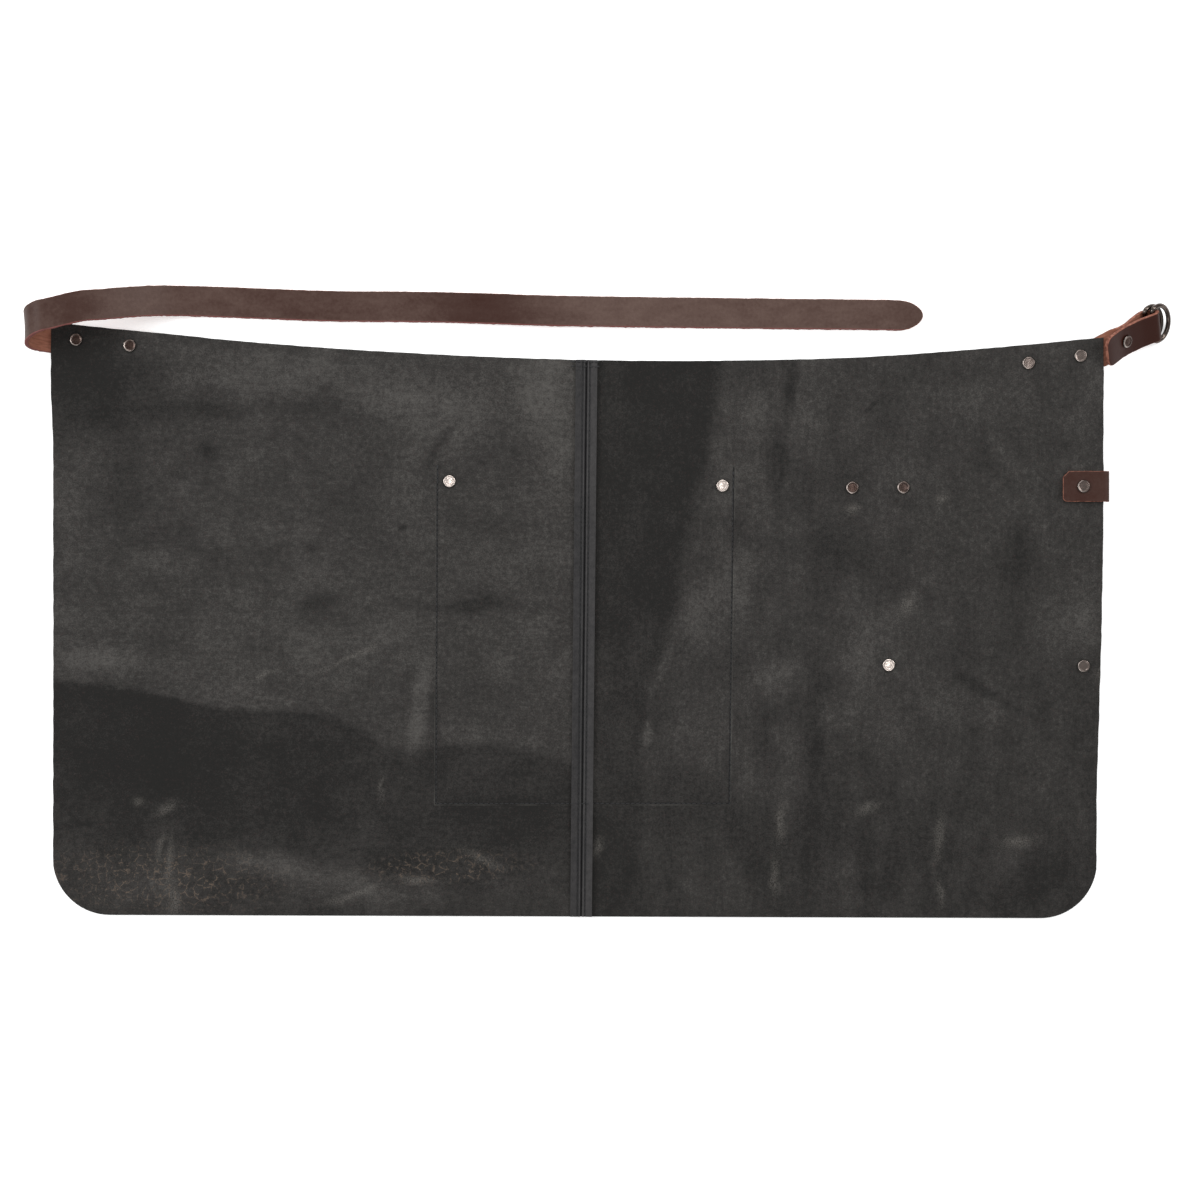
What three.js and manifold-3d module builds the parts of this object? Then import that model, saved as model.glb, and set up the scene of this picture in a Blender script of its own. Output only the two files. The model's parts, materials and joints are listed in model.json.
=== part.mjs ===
// Short leather apron, lying flat with its back upwards.
// Millimetres, +Z up. The origin is on the front face of the pocket, at its middle.

import * as THREE from 'three'
import { mergeVertices } from 'three/addons/utils/BufferGeometryUtils.js'
import Module from 'manifold-3d'

const wasm = await Module()
wasm.setup()

// Leather, and the gap left between pieces that touch
const gap = 0.35
const panelLeather = 2
const strapLeather = 3
const allowanceLeather = 1.5

// Apron outline, measured from the middle of the pocket
const leftWidth = 439.5
const rightWidth = 426
const topHeight = 227.4
const leftCornerRise = 31.4
const rightCornerRise = 16.5
const leftTopBend = 1.8
const rightTopBend = 2.2
const lowestTopShare = 0.16
const hemDepth = 233.5
const hemTilt = 1.5
const hemCornerRadius = 47

// Centre seam, with both allowances folded back
const seamTopOffset = 3
const seamLean = 4.6
const allowanceWidth = 9

// Pocket
const pocketWidth = 252
const pocketHeight = 286

// Rivets
const capRadius = 5.2
const capHeight = 1.7
const capBevel = 0.5
const shankRadius = 1.8
const pocketRivetInset = 12.5
const pocketRivetDrop = 17.5

// Straps
const strapWidth = 25
const strapRivetInset = 21
const strapRivetSpacing = 44.6
const strapEndMargin = 12
const strapLineAngle = 6.2
const bendRadius = 18.5
const bendTwist = 12
const freeLength = 720
const tipLength = 17

// Ring tab
const tabLineAngle = 7.7
const tabRivetInset = 19.6
const tabRivetSpacing = 41.9
const tabProud = 2
const tabTurnLength = 12
const tabClear = 6
const tabBendLength = 12
const tabStraight = 1.5
const tabHeading = 28.5
const tabDip = 28
const tabRoll = 33
const foldLength = 33
const flapOverhang = 17
const flapCorner = 4

// D-rings
const wireRadius = 2
const ringInnerWidth = 26.4
const ringLeg = 6
const ringArc = 12
const ringCornerRadius = 3.5
const ringSetback = 4

// Loop straps on the front
const upperLoopDrop = 122
const lowerLoopDrop = 268.5
const upperLoopLength = 203
const lowerLoopLength = 173
const upperEdgeRivetInset = 17
const lowerEdgeRivetInset = 14
const upperPairSpacing = 42
const edgeTabLength = 33
const edgeTabChamfer = 4.6
const edgeTabCorner = 2

// Mesh steps
const cell = 23
const rowCount = 18
const arcSteps = 5
const rivetSides = 10
const wireSides = 8
const ringSteps = 14
const strapSteps = 48
const padFall = 55

// Lift of the top right corner: where it starts from the middle, and how far down it holds and ends
const liftStartShare = 0.46
const liftFullShare = 0.955
const liftHoldShare = 0.27
const liftEndShare = 0.85
const leftLift = 4

// Soft folds in the panels. x and lean are shares of the panel's width, top and foot of the height
// above and below the pocket's middle, rise of the strap's leather, reach of the cell.
const folds = [
  { name: 'left', x: -0.32, lean: 0.02, top: 0.9, foot: -0.95, rise: 0.7, reach: 1.2 },
  { name: 'right', x: 0.4, lean: 0.05, top: 0.95, foot: -0.9, rise: 0.8, reach: 1.3 },
  { name: 'far left', x: -0.72, lean: -0.12, top: 0.3, foot: -0.8, rise: 0.8, reach: 2.2 },
  { name: 'hem right', x: 0.66, lean: 0.1, top: -0.2, foot: -1, rise: 0.9, reach: 2 },
]

// Free run of the long strap. along is a share of its length, aside of the strap's width, and
// height of the bend's diameter.
const freeRun = [
  { along: 0.042, aside: 0.39, height: 0.95 },
  { along: 0.063, aside: 0.5, height: 0.83 },
  { along: 0.089, aside: 0.6, height: 0.61 },
  { along: 0.114, aside: 0.68, height: 0.37 },
  { along: 0.14, aside: 0.72, height: 0.16 },
  { along: 0.166, aside: 0.73, height: 0.05 },
  { along: 0.221, aside: 0.68, height: 0 },
  { along: 0.32, aside: 0.58, height: 0.035 },
  { along: 0.42, aside: 0.56, height: 0 },
  { along: 0.497, aside: 0.5, height: 0.06 },
  { along: 0.56, aside: 0.43, height: 0.09 },
  { along: 0.65, aside: 0.39, height: 0.04 },
  { along: 0.75, aside: 0.36, height: 0 },
  { along: 0.87, aside: 0.32, height: 0.01 },
  { along: 0.94, aside: 0.3, height: 0 },
  { along: 1, aside: 0.26, height: 0 },
]

const up = new THREE.Vector3(0, 0, 1)
const radians = THREE.MathUtils.degToRad
const vec = (x, y, z) => new THREE.Vector3(x, y, z)
const mix = THREE.MathUtils.lerp
const ramp = (share) => THREE.MathUtils.smoothstep(share, 0, 1)

// Turns a geometry's faces outwards, whichever way they were listed
function facingOut(geometry) {
  const position = geometry.attributes.position
  const index = geometry.index
  const corner = [vec(0, 0, 0), vec(0, 0, 0), vec(0, 0, 0)]
  let volume = 0
  for (let i = 0; i < index.count; i += 3) {
    corner.forEach((point, k) => point.fromBufferAttribute(position, index.getX(i + k)))
    volume += corner[0].dot(corner[1].cross(corner[2]))
  }
  if (volume < 0) {
    for (let i = 0; i < index.count; i += 3) {
      const first = index.getX(i)
      index.setX(i, index.getX(i + 1))
      index.setX(i + 1, first)
    }
  }
  geometry.computeVertexNormals()
  return geometry
}

function meshFrom(points, triangles) {
  const geometry = new THREE.BufferGeometry()
  const flat = points.flatMap((point) => point.toArray())
  geometry.setAttribute('position', new THREE.Float32BufferAttribute(flat, 3))
  geometry.setIndex(triangles)
  return facingOut(geometry)
}

// A closed sheet between two grids of points of the same size
function slab(upper, lower) {
  const rows = upper.length
  const columns = upper[0].length
  const triangles = []
  const at = (layer, row, column) => (layer * rows + row) * columns + column
  const quad = (a, b, c, d) => triangles.push(a, b, c, a, c, d)
  for (let r = 0; r < rows - 1; r++) {
    for (let c = 0; c < columns - 1; c++) {
      quad(at(0, r, c), at(0, r + 1, c), at(0, r + 1, c + 1), at(0, r, c + 1))
      quad(at(1, r, c), at(1, r, c + 1), at(1, r + 1, c + 1), at(1, r + 1, c))
    }
    const last = columns - 1
    quad(at(0, r + 1, 0), at(0, r, 0), at(1, r, 0), at(1, r + 1, 0))
    quad(at(0, r, last), at(0, r + 1, last), at(1, r + 1, last), at(1, r, last))
  }
  for (let c = 0; c < columns - 1; c++) {
    const last = rows - 1
    quad(at(0, 0, c), at(0, 0, c + 1), at(1, 0, c + 1), at(1, 0, c))
    quad(at(0, last, c + 1), at(0, last, c), at(1, last, c), at(1, last, c + 1))
  }
  return meshFrom([...upper.flat(), ...lower.flat()], triangles)
}

// A flat strap along its stations. Its flesh side faces along tangent × across.
function ribbon(stations, thickness) {
  const flesh = []
  const grain = []
  stations.forEach(({ centre, across, near, far }, i) => {
    const before = stations[Math.max(i - 1, 0)].centre
    const after = stations[Math.min(i + 1, stations.length - 1)].centre
    const along = after.clone().sub(before).normalize()
    const out = along.clone().cross(across).normalize()
    const side = out.clone().cross(along).normalize()
    const edge = (reach, height) =>
      centre.clone().addScaledVector(side, reach).addScaledVector(out, height)
    flesh.push([edge(-near, thickness / 2), edge(far, thickness / 2)])
    grain.push([edge(-near, -thickness / 2), edge(far, -thickness / 2)])
  })
  return slab(flesh, grain)
}

const halfStrap = strapWidth / 2
const station = (centre, across, near = halfStrap, far = halfStrap) => ({ centre, across, near, far })

// Tab frame: direction, width and flesh-side normal at a distance past the apron's edge
function tabFrame(distance) {
  const turned = ramp((distance + tabTurnLength) / tabTurnLength)
  const bent = ramp((distance - tabClear) / tabBendLength)
  const heading = radians(mix(tabLineAngle, tabHeading, turned))
  const dip = radians(tabDip) * bent
  const roll = radians(tabRoll) * bent
  const flat = Math.cos(dip)
  const along = vec(flat * Math.cos(heading), flat * Math.sin(heading), -Math.sin(dip))
  const level = vec(-Math.sin(heading), Math.cos(heading), 0)
  const across = level.clone().applyAxisAngle(along, roll)
  return { along, across, out: along.clone().cross(across) }
}

// Walks the tab's lower layer from the edge, out for a positive distance and in for a negative one
function walkTab(start, distance) {
  const steps = Math.ceil(Math.abs(distance))
  const step = distance / steps
  const place = start.clone()
  for (let i = 0; i < steps; i++) place.addScaledVector(tabFrame((i + 0.5) * step).along, step)
  return place
}

// Outline of the apron
const lowestTopX = lowestTopShare * rightWidth
const leftEdge = -leftWidth
const rightEdge = rightWidth
const leftCornerY = topHeight + leftCornerRise
const rightCornerY = topHeight + rightCornerRise

function topLine(x) {
  const goesLeft = x < lowestTopX
  const reach = goesLeft ? lowestTopX - leftEdge : rightEdge - lowestTopX
  const share = Math.abs(x - lowestTopX) / reach
  const rise = goesLeft ? leftCornerRise : rightCornerRise
  return topHeight + rise * share ** (goesLeft ? leftTopBend : rightTopBend)
}

function hemLine(x) {
  const width = x < 0 ? leftWidth : rightWidth
  const into = hemCornerRadius - (width - Math.abs(x))
  const straight = -hemDepth - (hemTilt * x) / width
  if (into <= 0) return straight
  const cut = Math.sqrt(Math.max(hemCornerRadius ** 2 - into ** 2, 0))
  return straight + hemCornerRadius - cut
}

const seamLine = (share) => seamTopOffset - seamLean * share

// The ring tab's lower layer, fold and rings, worked out from an edge point at height 0
const tabEdge = vec(rightEdge, rightCornerY - halfStrap + tabProud, 0)
const foldStart = tabClear + tabBendLength
const foldFrame = tabFrame(foldStart)
const ringDrop = 2 * wireRadius + gap
const layerStep = strapLeather + gap
const wrapRadius = wireRadius + 2 * gap + strapLeather / 2
const foldRivetFoot = walkTab(tabEdge, foldStart + tabStraight)
const outerBar = foldRivetFoot.clone()
  .addScaledVector(foldFrame.along, foldLength)
  .addScaledVector(foldFrame.out, (ringDrop + layerStep) / 2)
const inFold = (along, out) => outerBar.clone()
  .addScaledVector(foldFrame.along, along)
  .addScaledVector(foldFrame.out, out)
const innerBar = inFold(-ringSetback, -ringDrop)

// Centre line of a D-ring from its bar, as distances along the tab and across it
function ringOutline() {
  const half = ringInnerWidth / 2 + wireRadius
  const corner = ringCornerRadius
  const points = []
  for (let i = 0; i <= 2; i++) {
    const angle = (Math.PI / 4) * i
    points.push([corner * (1 - Math.cos(angle)), half - corner + corner * Math.sin(angle)])
  }
  for (let i = 0; i <= ringSteps; i++) {
    const angle = (Math.PI / ringSteps) * i
    points.push([ringLeg + ringArc * Math.sin(angle), half * Math.cos(angle)])
  }
  for (let i = 2; i >= 0; i--) {
    const angle = (Math.PI / 4) * i
    points.push([corner * (1 - Math.cos(angle)), -(half - corner + corner * Math.sin(angle))])
  }
  return points
}

function ring(bar) {
  const outline = ringOutline()
  const count = outline.length
  const points = []
  const triangles = []
  outline.forEach(([along, across], i) => {
    const before = outline[(i + count - 1) % count]
    const after = outline[(i + 1) % count]
    const turn = Math.hypot(after[0] - before[0], after[1] - before[1])
    const centre = bar.clone()
      .addScaledVector(foldFrame.along, along)
      .addScaledVector(foldFrame.across, across)
    const inward = vec(0, 0, 0)
      .addScaledVector(foldFrame.along, (after[1] - before[1]) / turn)
      .addScaledVector(foldFrame.across, (before[0] - after[0]) / turn)
    for (let k = 0; k < wireSides; k++) {
      const angle = ((k + 0.5) * 2 * Math.PI) / wireSides
      points.push(centre.clone()
        .addScaledVector(inward, wireRadius * Math.cos(angle))
        .addScaledVector(foldFrame.out, wireRadius * Math.sin(angle)))
      const next = (k + 1) % wireSides
      const here = i * wireSides
      const there = ((i + 1) % count) * wireSides
      triangles.push(here + k, there + k, there + next, here + k, there + next, here + next)
    }
  })
  return meshFrom(points, triangles)
}

const rings = { d_ring_inner: ring(innerBar), d_ring_outer: ring(outerBar) }
const ringLow = Math.min(...Object.values(rings).map((geometry) => {
  geometry.computeBoundingBox()
  return geometry.boundingBox.min.z
}))

// The rings rest on the surface, so the tab and the corner above it stand this high
const tabHeight = -ringLow
const cornerLift = tabHeight + strapLeather / 2 + gap

// Rivet places on the panels
const alongAngle = (angle) => vec(Math.cos(radians(angle)), Math.sin(radians(angle)), 0)
const strapLine = alongAngle(-strapLineAngle)
const strapEdge = vec(leftEdge, leftCornerY - halfStrap, 0)
const onStrap = (distance) => strapEdge.clone().addScaledVector(strapLine, distance)
const strapEnd = strapRivetInset + strapRivetSpacing + strapEndMargin
const upperLoopY = rightCornerY - upperLoopDrop
const lowerLoopY = rightCornerY - lowerLoopDrop

const rivetPlaces = {
  rivet_strap_edge: onStrap(strapRivetInset),
  rivet_strap_inner: onStrap(strapRivetInset + strapRivetSpacing),
  rivet_tab_edge: walkTab(tabEdge, -tabRivetInset),
  rivet_tab_inner: walkTab(tabEdge, -tabRivetInset - tabRivetSpacing),
  rivet_pocket_left: vec(-pocketWidth / 2 + pocketRivetInset, pocketHeight / 2 - pocketRivetDrop, 0),
  rivet_pocket_right: vec(pocketWidth / 2 - pocketRivetInset, pocketHeight / 2 - pocketRivetDrop, 0),
  rivet_upper_inner: vec(rightEdge - upperLoopLength, upperLoopY, 0),
  rivet_upper_middle: vec(rightEdge - upperLoopLength + upperPairSpacing, upperLoopY, 0),
  rivet_upper_edge: vec(rightEdge - upperEdgeRivetInset, upperLoopY, 0),
  rivet_lower_inner: vec(rightEdge - lowerLoopLength, lowerLoopY, 0),
  rivet_lower_edge: vec(rightEdge - lowerEdgeRivetInset, lowerLoopY, 0),
}

// What lies between the panels and the surface, and so holds them up: a level pad with a soft fall
const strapStack = capHeight + strapLeather + 2 * gap
const rivetStack = capHeight + 2 * gap
const loopPad = (length, y) => ({
  x: rightEdge - length / 2,
  y,
  halfX: length / 2 + strapEndMargin,
  halfY: halfStrap,
  rise: strapStack,
})
const pocketRivetPad = ({ x, y }) => ({ x, y, halfX: capRadius, halfY: capRadius, rise: rivetStack })
const pocketPads = [rivetPlaces.rivet_pocket_left, rivetPlaces.rivet_pocket_right].map(pocketRivetPad)
const pads = [
  ...pocketPads,
  { x: 0, y: 0, halfX: pocketWidth / 2, halfY: pocketHeight / 2, rise: panelLeather + gap },
  {
    x: leftEdge + strapEnd / 2,
    y: strapEdge.y - (strapEnd / 2) * Math.sin(radians(strapLineAngle)),
    halfX: strapEnd / 2,
    halfY: halfStrap,
    rise: strapStack + leftLift,
  },
  loopPad(upperLoopLength, upperLoopY),
  loopPad(lowerLoopLength, lowerLoopY),
]

function padHeight(pad, x, y) {
  const outX = Math.max(Math.abs(x - pad.x) - pad.halfX - cell, 0)
  const outY = Math.max(Math.abs(y - pad.y) - pad.halfY - cell, 0)
  return pad.rise * (1 - ramp(Math.hypot(outX, outY) / padFall))
}

function foldHeight(fold, x, y) {
  const width = fold.x < 0 ? leftWidth : rightWidth
  const share = y / (y > 0 ? topHeight : hemDepth)
  const run = Math.abs(2 * share - fold.top - fold.foot) / (fold.top - fold.foot)
  const off = x - width * (fold.x + fold.lean * share)
  const across = Math.exp(-((off / (fold.reach * cell)) ** 2))
  return fold.rise * strapLeather * across * (1 - ramp(run))
}

const sumOf = (list, height, x, y) => list.reduce((sum, item) => sum + height(item, x, y), 0)

// Share of the corner's lift at a place
function liftedShare(x, y) {
  const fallen = (rightCornerY - y) / (rightCornerY + hemDepth)
  const across = ramp((x / rightWidth - liftStartShare) / (liftFullShare - liftStartShare))
  const down = 1 - ramp((fallen - liftHoldShare) / (liftEndShare - liftHoldShare))
  return across * down
}

// Height of the panels' underside
function under(x, y) {
  const lifted = liftedShare(x, y)
  const resting = sumOf(pads, padHeight, x, y) + sumOf(folds, foldHeight, x, y)
  return cornerLift * lifted + resting * (1 - lifted)
}

const pocketUnder = (x, y) => sumOf(pocketPads, padHeight, x, y)
const strapUnder = (x, y) => under(x, y) - gap - strapLeather / 2

// Lays a strap's station against the panels' underside
function laid(x, y, across) {
  const heightAt = (reach) => under(x + across.x * reach, y + across.y * reach)
  const slope = (heightAt(halfStrap) - heightAt(-halfStrap)) / strapWidth
  return station(vec(x, y, strapUnder(x, y)), across.clone().setZ(slope).normalize())
}

function panelNormal(x, y) {
  const reach = capRadius
  const slopeX = (under(x + reach, y) - under(x - reach, y)) / (2 * reach)
  const slopeY = (under(x, y + reach) - under(x, y - reach)) / (2 * reach)
  return vec(-slopeX, -slopeY, 1).normalize()
}

// Panels: columns run from the outer edge to the seam, then the allowance folds back
function panelColumns(width) {
  const columns = []
  for (let i = 0; i <= arcSteps; i++) {
    columns.push(hemCornerRadius * (1 - Math.cos((Math.PI / 2) * (i / arcSteps))))
  }
  const plain = width - hemCornerRadius - allowanceWidth
  const count = Math.round(plain / cell)
  for (let i = 1; i <= count; i++) columns.push(hemCornerRadius + (plain * i) / count)
  return columns.map((inset) => inset / width)
}

function panel(side) {
  const sign = side === 'left' ? -1 : 1
  const edgeX = side === 'left' ? leftEdge : rightEdge
  const grain = []
  const flesh = []
  for (let i = 0; i <= rowCount; i++) {
    const share = i / rowCount
    const seamX = seamLine(share) + (sign * gap) / 2
    const sheet = (x) => {
      const y = mix(topLine(x), hemLine(x), share)
      return vec(x, y, under(x, y))
    }
    const lower = panelColumns(Math.abs(edgeX)).map((column) => sheet(mix(edgeX, seamX, column)))
    const upper = lower.map((point) => point.clone().setZ(point.z + panelLeather))
    const seam = sheet(seamX)
    const allowance = sheet(seamX + sign * allowanceWidth)
    const turn = sign * allowanceLeather
    const lowTurn = panelLeather
    const highTurn = panelLeather + gap
    const highFace = highTurn + allowanceLeather
    lower.push(seam, seam.clone().setZ(seam.z + highFace), allowance.clone().setZ(allowance.z + highFace))
    upper.push(
      vec(seam.x + turn, seam.y, seam.z + lowTurn),
      vec(seam.x + turn, seam.y, seam.z + highTurn),
      allowance.clone().setZ(allowance.z + highTurn),
    )
    grain.push(lower)
    flesh.push(upper)
  }
  return slab(flesh, grain)
}

// Pocket: flat on the surface, raised only over its two rivets
function pocket() {
  const columns = Math.round(pocketWidth / cell)
  const rows = Math.round(pocketHeight / cell)
  const lower = []
  const upper = []
  for (let r = 0; r <= rows; r++) {
    const row = []
    for (let c = 0; c <= columns; c++) {
      const x = pocketWidth * (c / columns - 0.5)
      const y = pocketHeight * (0.5 - r / rows)
      row.push(vec(x, y, pocketUnder(x, y)))
    }
    lower.push(row)
    upper.push(row.map((point) => point.clone().setZ(point.z + panelLeather)))
  }
  return slab(upper, lower)
}

// The sheets before their holes are punched
const sheetOf = (geometry) => new THREE.Mesh(geometry)
const panels = { left: sheetOf(panel('left')), right: sheetOf(panel('right')) }
const pocketSheet = sheetOf(pocket())

function turnedTo(axis) {
  return new THREE.Quaternion().setFromUnitVectors(vec(0, 1, 0), axis)
}

// How far a sheet's face reaches along an axis from a place, anywhere under a rivet's cap
function seatReach(sheet, place, axis) {
  const ray = new THREE.Raycaster()
  const reaches = []
  for (let k = 0; k <= rivetSides; k++) {
    const radius = k < rivetSides ? capRadius : 0
    const angle = (k * 2 * Math.PI) / rivetSides
    const start = vec(radius * Math.cos(angle), 0, radius * Math.sin(angle))
    start.applyQuaternion(turnedTo(axis)).add(place).addScaledVector(axis, cell)
    ray.set(start, axis.clone().negate())
    reaches.push(cell - ray.intersectObject(sheet)[0].distance)
  }
  return Math.max(...reaches)
}

// Rivets. low and high are the leather faces under the two caps, along the axis from the centre.
function rivetThrough(name, { x, y }) {
  const onPocket = name.startsWith('rivet_pocket')
  const wrapped = name === 'rivet_upper_edge'
  const sheet = x < 0 ? panels.left : panels.right
  const place = vec(x, y, under(x, y))
  const axis = panelNormal(x, y)
  const down = axis.clone().negate()
  const low = onPocket ? -seatReach(pocketSheet, place, down) : -seatReach(sheet, place, down) - layerStep
  const high = seatReach(sheet, place, axis) + (wrapped ? layerStep : 0)
  const reach = (high - low) / 2
  return { centre: place.addScaledVector(axis, low + reach), axis, low: -reach, high: reach }
}

const places = Object.entries(rivetPlaces)
const rivets = Object.fromEntries(places.map(([name, place]) => [name, rivetThrough(name, place)]))

function rivetMesh({ centre, axis, low, high }) {
  const top = high + gap
  const foot = low - gap
  const profile = [
    [0, foot - capHeight],
    [capRadius - capBevel, foot - capHeight],
    [capRadius, foot - capHeight + capBevel],
    [capRadius, foot],
    [shankRadius, foot],
    [shankRadius, top],
    [capRadius, top],
    [capRadius, top + capHeight - capBevel],
    [capRadius - capBevel, top + capHeight],
    [0, top + capHeight],
  ].map(([radius, height]) => new THREE.Vector2(radius, height))
  const geometry = welded(new THREE.LatheGeometry(profile, rivetSides))
  geometry.applyQuaternion(turnedTo(axis))
  geometry.translate(centre.x, centre.y, centre.z)
  return facingOut(geometry)
}

// Merges shared corners, so that a geometry is one closed surface
function welded(geometry) {
  const plain = geometry.clone()
  plain.deleteAttribute('normal')
  plain.deleteAttribute('uv')
  return withoutSlivers(mergeVertices(plain, 1e-4))
}

function withoutSlivers(geometry) {
  const index = Array.from(geometry.index.array)
  const kept = []
  for (let i = 0; i < index.length; i += 3) {
    const [a, b, c] = index.slice(i, i + 3)
    if (a !== b && b !== c && c !== a) kept.push(a, b, c)
  }
  geometry.setIndex(kept)
  return geometry
}

function toSolid(geometry) {
  const merged = welded(geometry)
  const vertProperties = new Float32Array(merged.attributes.position.array)
  const triVerts = new Uint32Array(merged.index.array)
  return new wasm.Manifold(new wasm.Mesh({ numProp: 3, vertProperties, triVerts }))
}

function fromSolid(solid) {
  const { vertProperties, triVerts, numProp } = solid.getMesh()
  const geometry = new THREE.BufferGeometry()
  const positions = []
  for (let i = 0; i < vertProperties.length; i += numProp) {
    positions.push(vertProperties[i], vertProperties[i + 1], vertProperties[i + 2])
  }
  geometry.setAttribute('position', new THREE.Float32BufferAttribute(positions, 3))
  geometry.setIndex(Array.from(triVerts))
  return facingOut(geometry)
}

// Punches the rivets' holes, a gap wider than their shanks
function punched(geometry, names) {
  let solid = toSolid(geometry)
  for (const name of names) {
    const { centre, axis, low, high } = rivets[name]
    const length = high - low + 4 * capHeight
    const punch = new THREE.CylinderGeometry(shankRadius + gap, shankRadius + gap, length, rivetSides)
    punch.applyQuaternion(turnedTo(axis))
    punch.translate(centre.x, centre.y, centre.z)
    solid = solid.subtract(toSolid(punch))
  }
  return fromSolid(solid)
}

// Rows that round off a strap's end: how much is left to the end, and how far each side is cut back
function endRows(nearRadius, farRadius) {
  const longest = Math.max(nearRadius, farRadius)
  const cutBack = (radius, left) => {
    const into = Math.max(radius - left, 0)
    return radius - Math.sqrt(radius ** 2 - into ** 2)
  }
  return [1, 0.6, 0.3, 0.1, 0].map((share) => {
    const left = longest * share
    return { left, near: cutBack(nearRadius, left), far: cutBack(farRadius, left) }
  })
}

// Long strap: under the corner, round the bend, and along the surface
function longStrap() {
  const insideSteps = 8
  const bendSteps = 12
  const turnSteps = 6
  const flatAcross = strapLine.clone().cross(up)
  const stations = []
  for (let i = 0; i <= insideSteps; i++) {
    const { x, y } = onStrap(strapEnd * (1 - i / insideSteps))
    stations.push(laid(x, y, flatAcross))
  }
  const start = stations.at(-1).centre
  const twist = radians(bendTwist)
  const outward = strapLine.clone().negate().applyAxisAngle(up, twist)
  const axis = outward.clone().cross(up)
  const acrossAt = (angle) => {
    const round = outward.clone().multiplyScalar(Math.cos(angle)).addScaledVector(up, Math.sin(angle))
    return round.multiplyScalar(Math.sin(twist)).addScaledVector(axis, -Math.cos(twist))
  }
  for (let i = 1; i <= bendSteps; i++) {
    const angle = (Math.PI * i) / bendSteps
    const centre = start.clone()
      .addScaledVector(outward, bendRadius * Math.sin(angle))
      .addScaledVector(up, bendRadius * (1 - Math.cos(angle)))
      .addScaledVector(axis, bendRadius * Math.tan(twist) * angle)
    stations.push(station(centre, acrossAt(angle)))
  }
  const bendEnd = stations.at(-1).centre
  const resting = strapLeather / 2
  const route = freeRun.map(({ along, aside, height }) => vec(
    bendEnd.x + along * freeLength,
    bendEnd.y + aside * strapWidth,
    resting + height * (bendEnd.z - resting),
  ))
  const curve = new THREE.CatmullRomCurve3([bendEnd, ...route], false, 'centripetal')
  const length = curve.getLength()
  const level = vec(0, -1, 0)
  const onSurface = (distance) => {
    const place = curve.getPointAt(distance / length)
    return place.setZ(Math.max(place.z, resting))
  }
  for (let i = 1; i <= strapSteps; i++) {
    const distance = ((length - tipLength) * i) / strapSteps
    const across = acrossAt(Math.PI).lerp(level, ramp(i / turnSteps)).normalize()
    stations.push(station(onSurface(distance), across))
  }
  for (const angle of [70, 50, 30, 10].map(radians)) {
    const distance = length - tipLength * (1 - Math.cos(angle))
    const half = halfStrap * Math.sin(angle)
    stations.push(station(onSurface(distance), level, half, half))
  }
  return ribbon(stations, strapLeather)
}

// Ring tab: under the corner, out over the edge, round both bars and back on itself
const raised = (point) => point.clone().setZ(point.z + tabHeight)

function ringTab() {
  const insideSteps = 10
  const outsideSteps = 8
  const noseSteps = 7
  const inner = tabRivetInset + tabRivetSpacing + strapEndMargin
  const outer = foldStart + tabStraight
  const stations = []
  for (let i = 0; i < insideSteps; i++) {
    const distance = -inner * (1 - i / insideSteps)
    const { x, y } = walkTab(tabEdge, distance)
    stations.push(laid(x, y, tabFrame(distance).across))
  }
  stations.push(station(raised(tabEdge), tabFrame(0).across))
  for (let i = 1; i <= outsideSteps; i++) {
    const distance = (outer * i) / outsideSteps
    stations.push(station(raised(walkTab(tabEdge, distance)), tabFrame(distance).across))
  }
  const lowerLayer = -(ringDrop + layerStep) / 2
  const upperLayer = lowerLayer + layerStep
  const flatEnd = -foldLength + capRadius + gap
  const slope = Math.atan2(ringDrop, ringSetback)
  const bars = [
    [flatEnd, lowerLayer],
    [-ringSetback, -ringDrop - wrapRadius],
    [-ringSetback + wrapRadius * Math.sin(slope), -ringDrop - wrapRadius * Math.cos(slope)],
  ]
  for (let i = 0; i <= noseSteps; i++) {
    const angle = mix(slope - Math.PI / 2, Math.PI / 2, i / noseSteps)
    bars.push([wrapRadius * Math.cos(angle), wrapRadius * Math.sin(angle)])
  }
  bars.push([flatEnd, upperLayer], [-foldLength, upperLayer])
  for (const [along, out] of bars) {
    stations.push(station(raised(inFold(along, out)), foldFrame.across))
  }
  const flapEnd = -foldLength - flapOverhang
  for (const { left, near, far } of endRows(flapCorner, flapCorner)) {
    const place = raised(inFold(flapEnd + left, upperLayer))
    stations.push(station(place, foldFrame.across, halfStrap - near, halfStrap - far))
  }
  return ribbon(stations, strapLeather)
}

// A strap on the front, from its inner end to a distance short of the right edge
function frontRun(length, y, short) {
  const start = rightEdge - length - strapEndMargin
  const end = rightEdge - short
  const steps = Math.round((end - start) / (cell / 2))
  const stations = []
  for (let i = 0; i <= steps; i++) {
    stations.push(laid(mix(start, end, i / steps), y, vec(0, 1, 0)))
  }
  return stations
}

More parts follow.
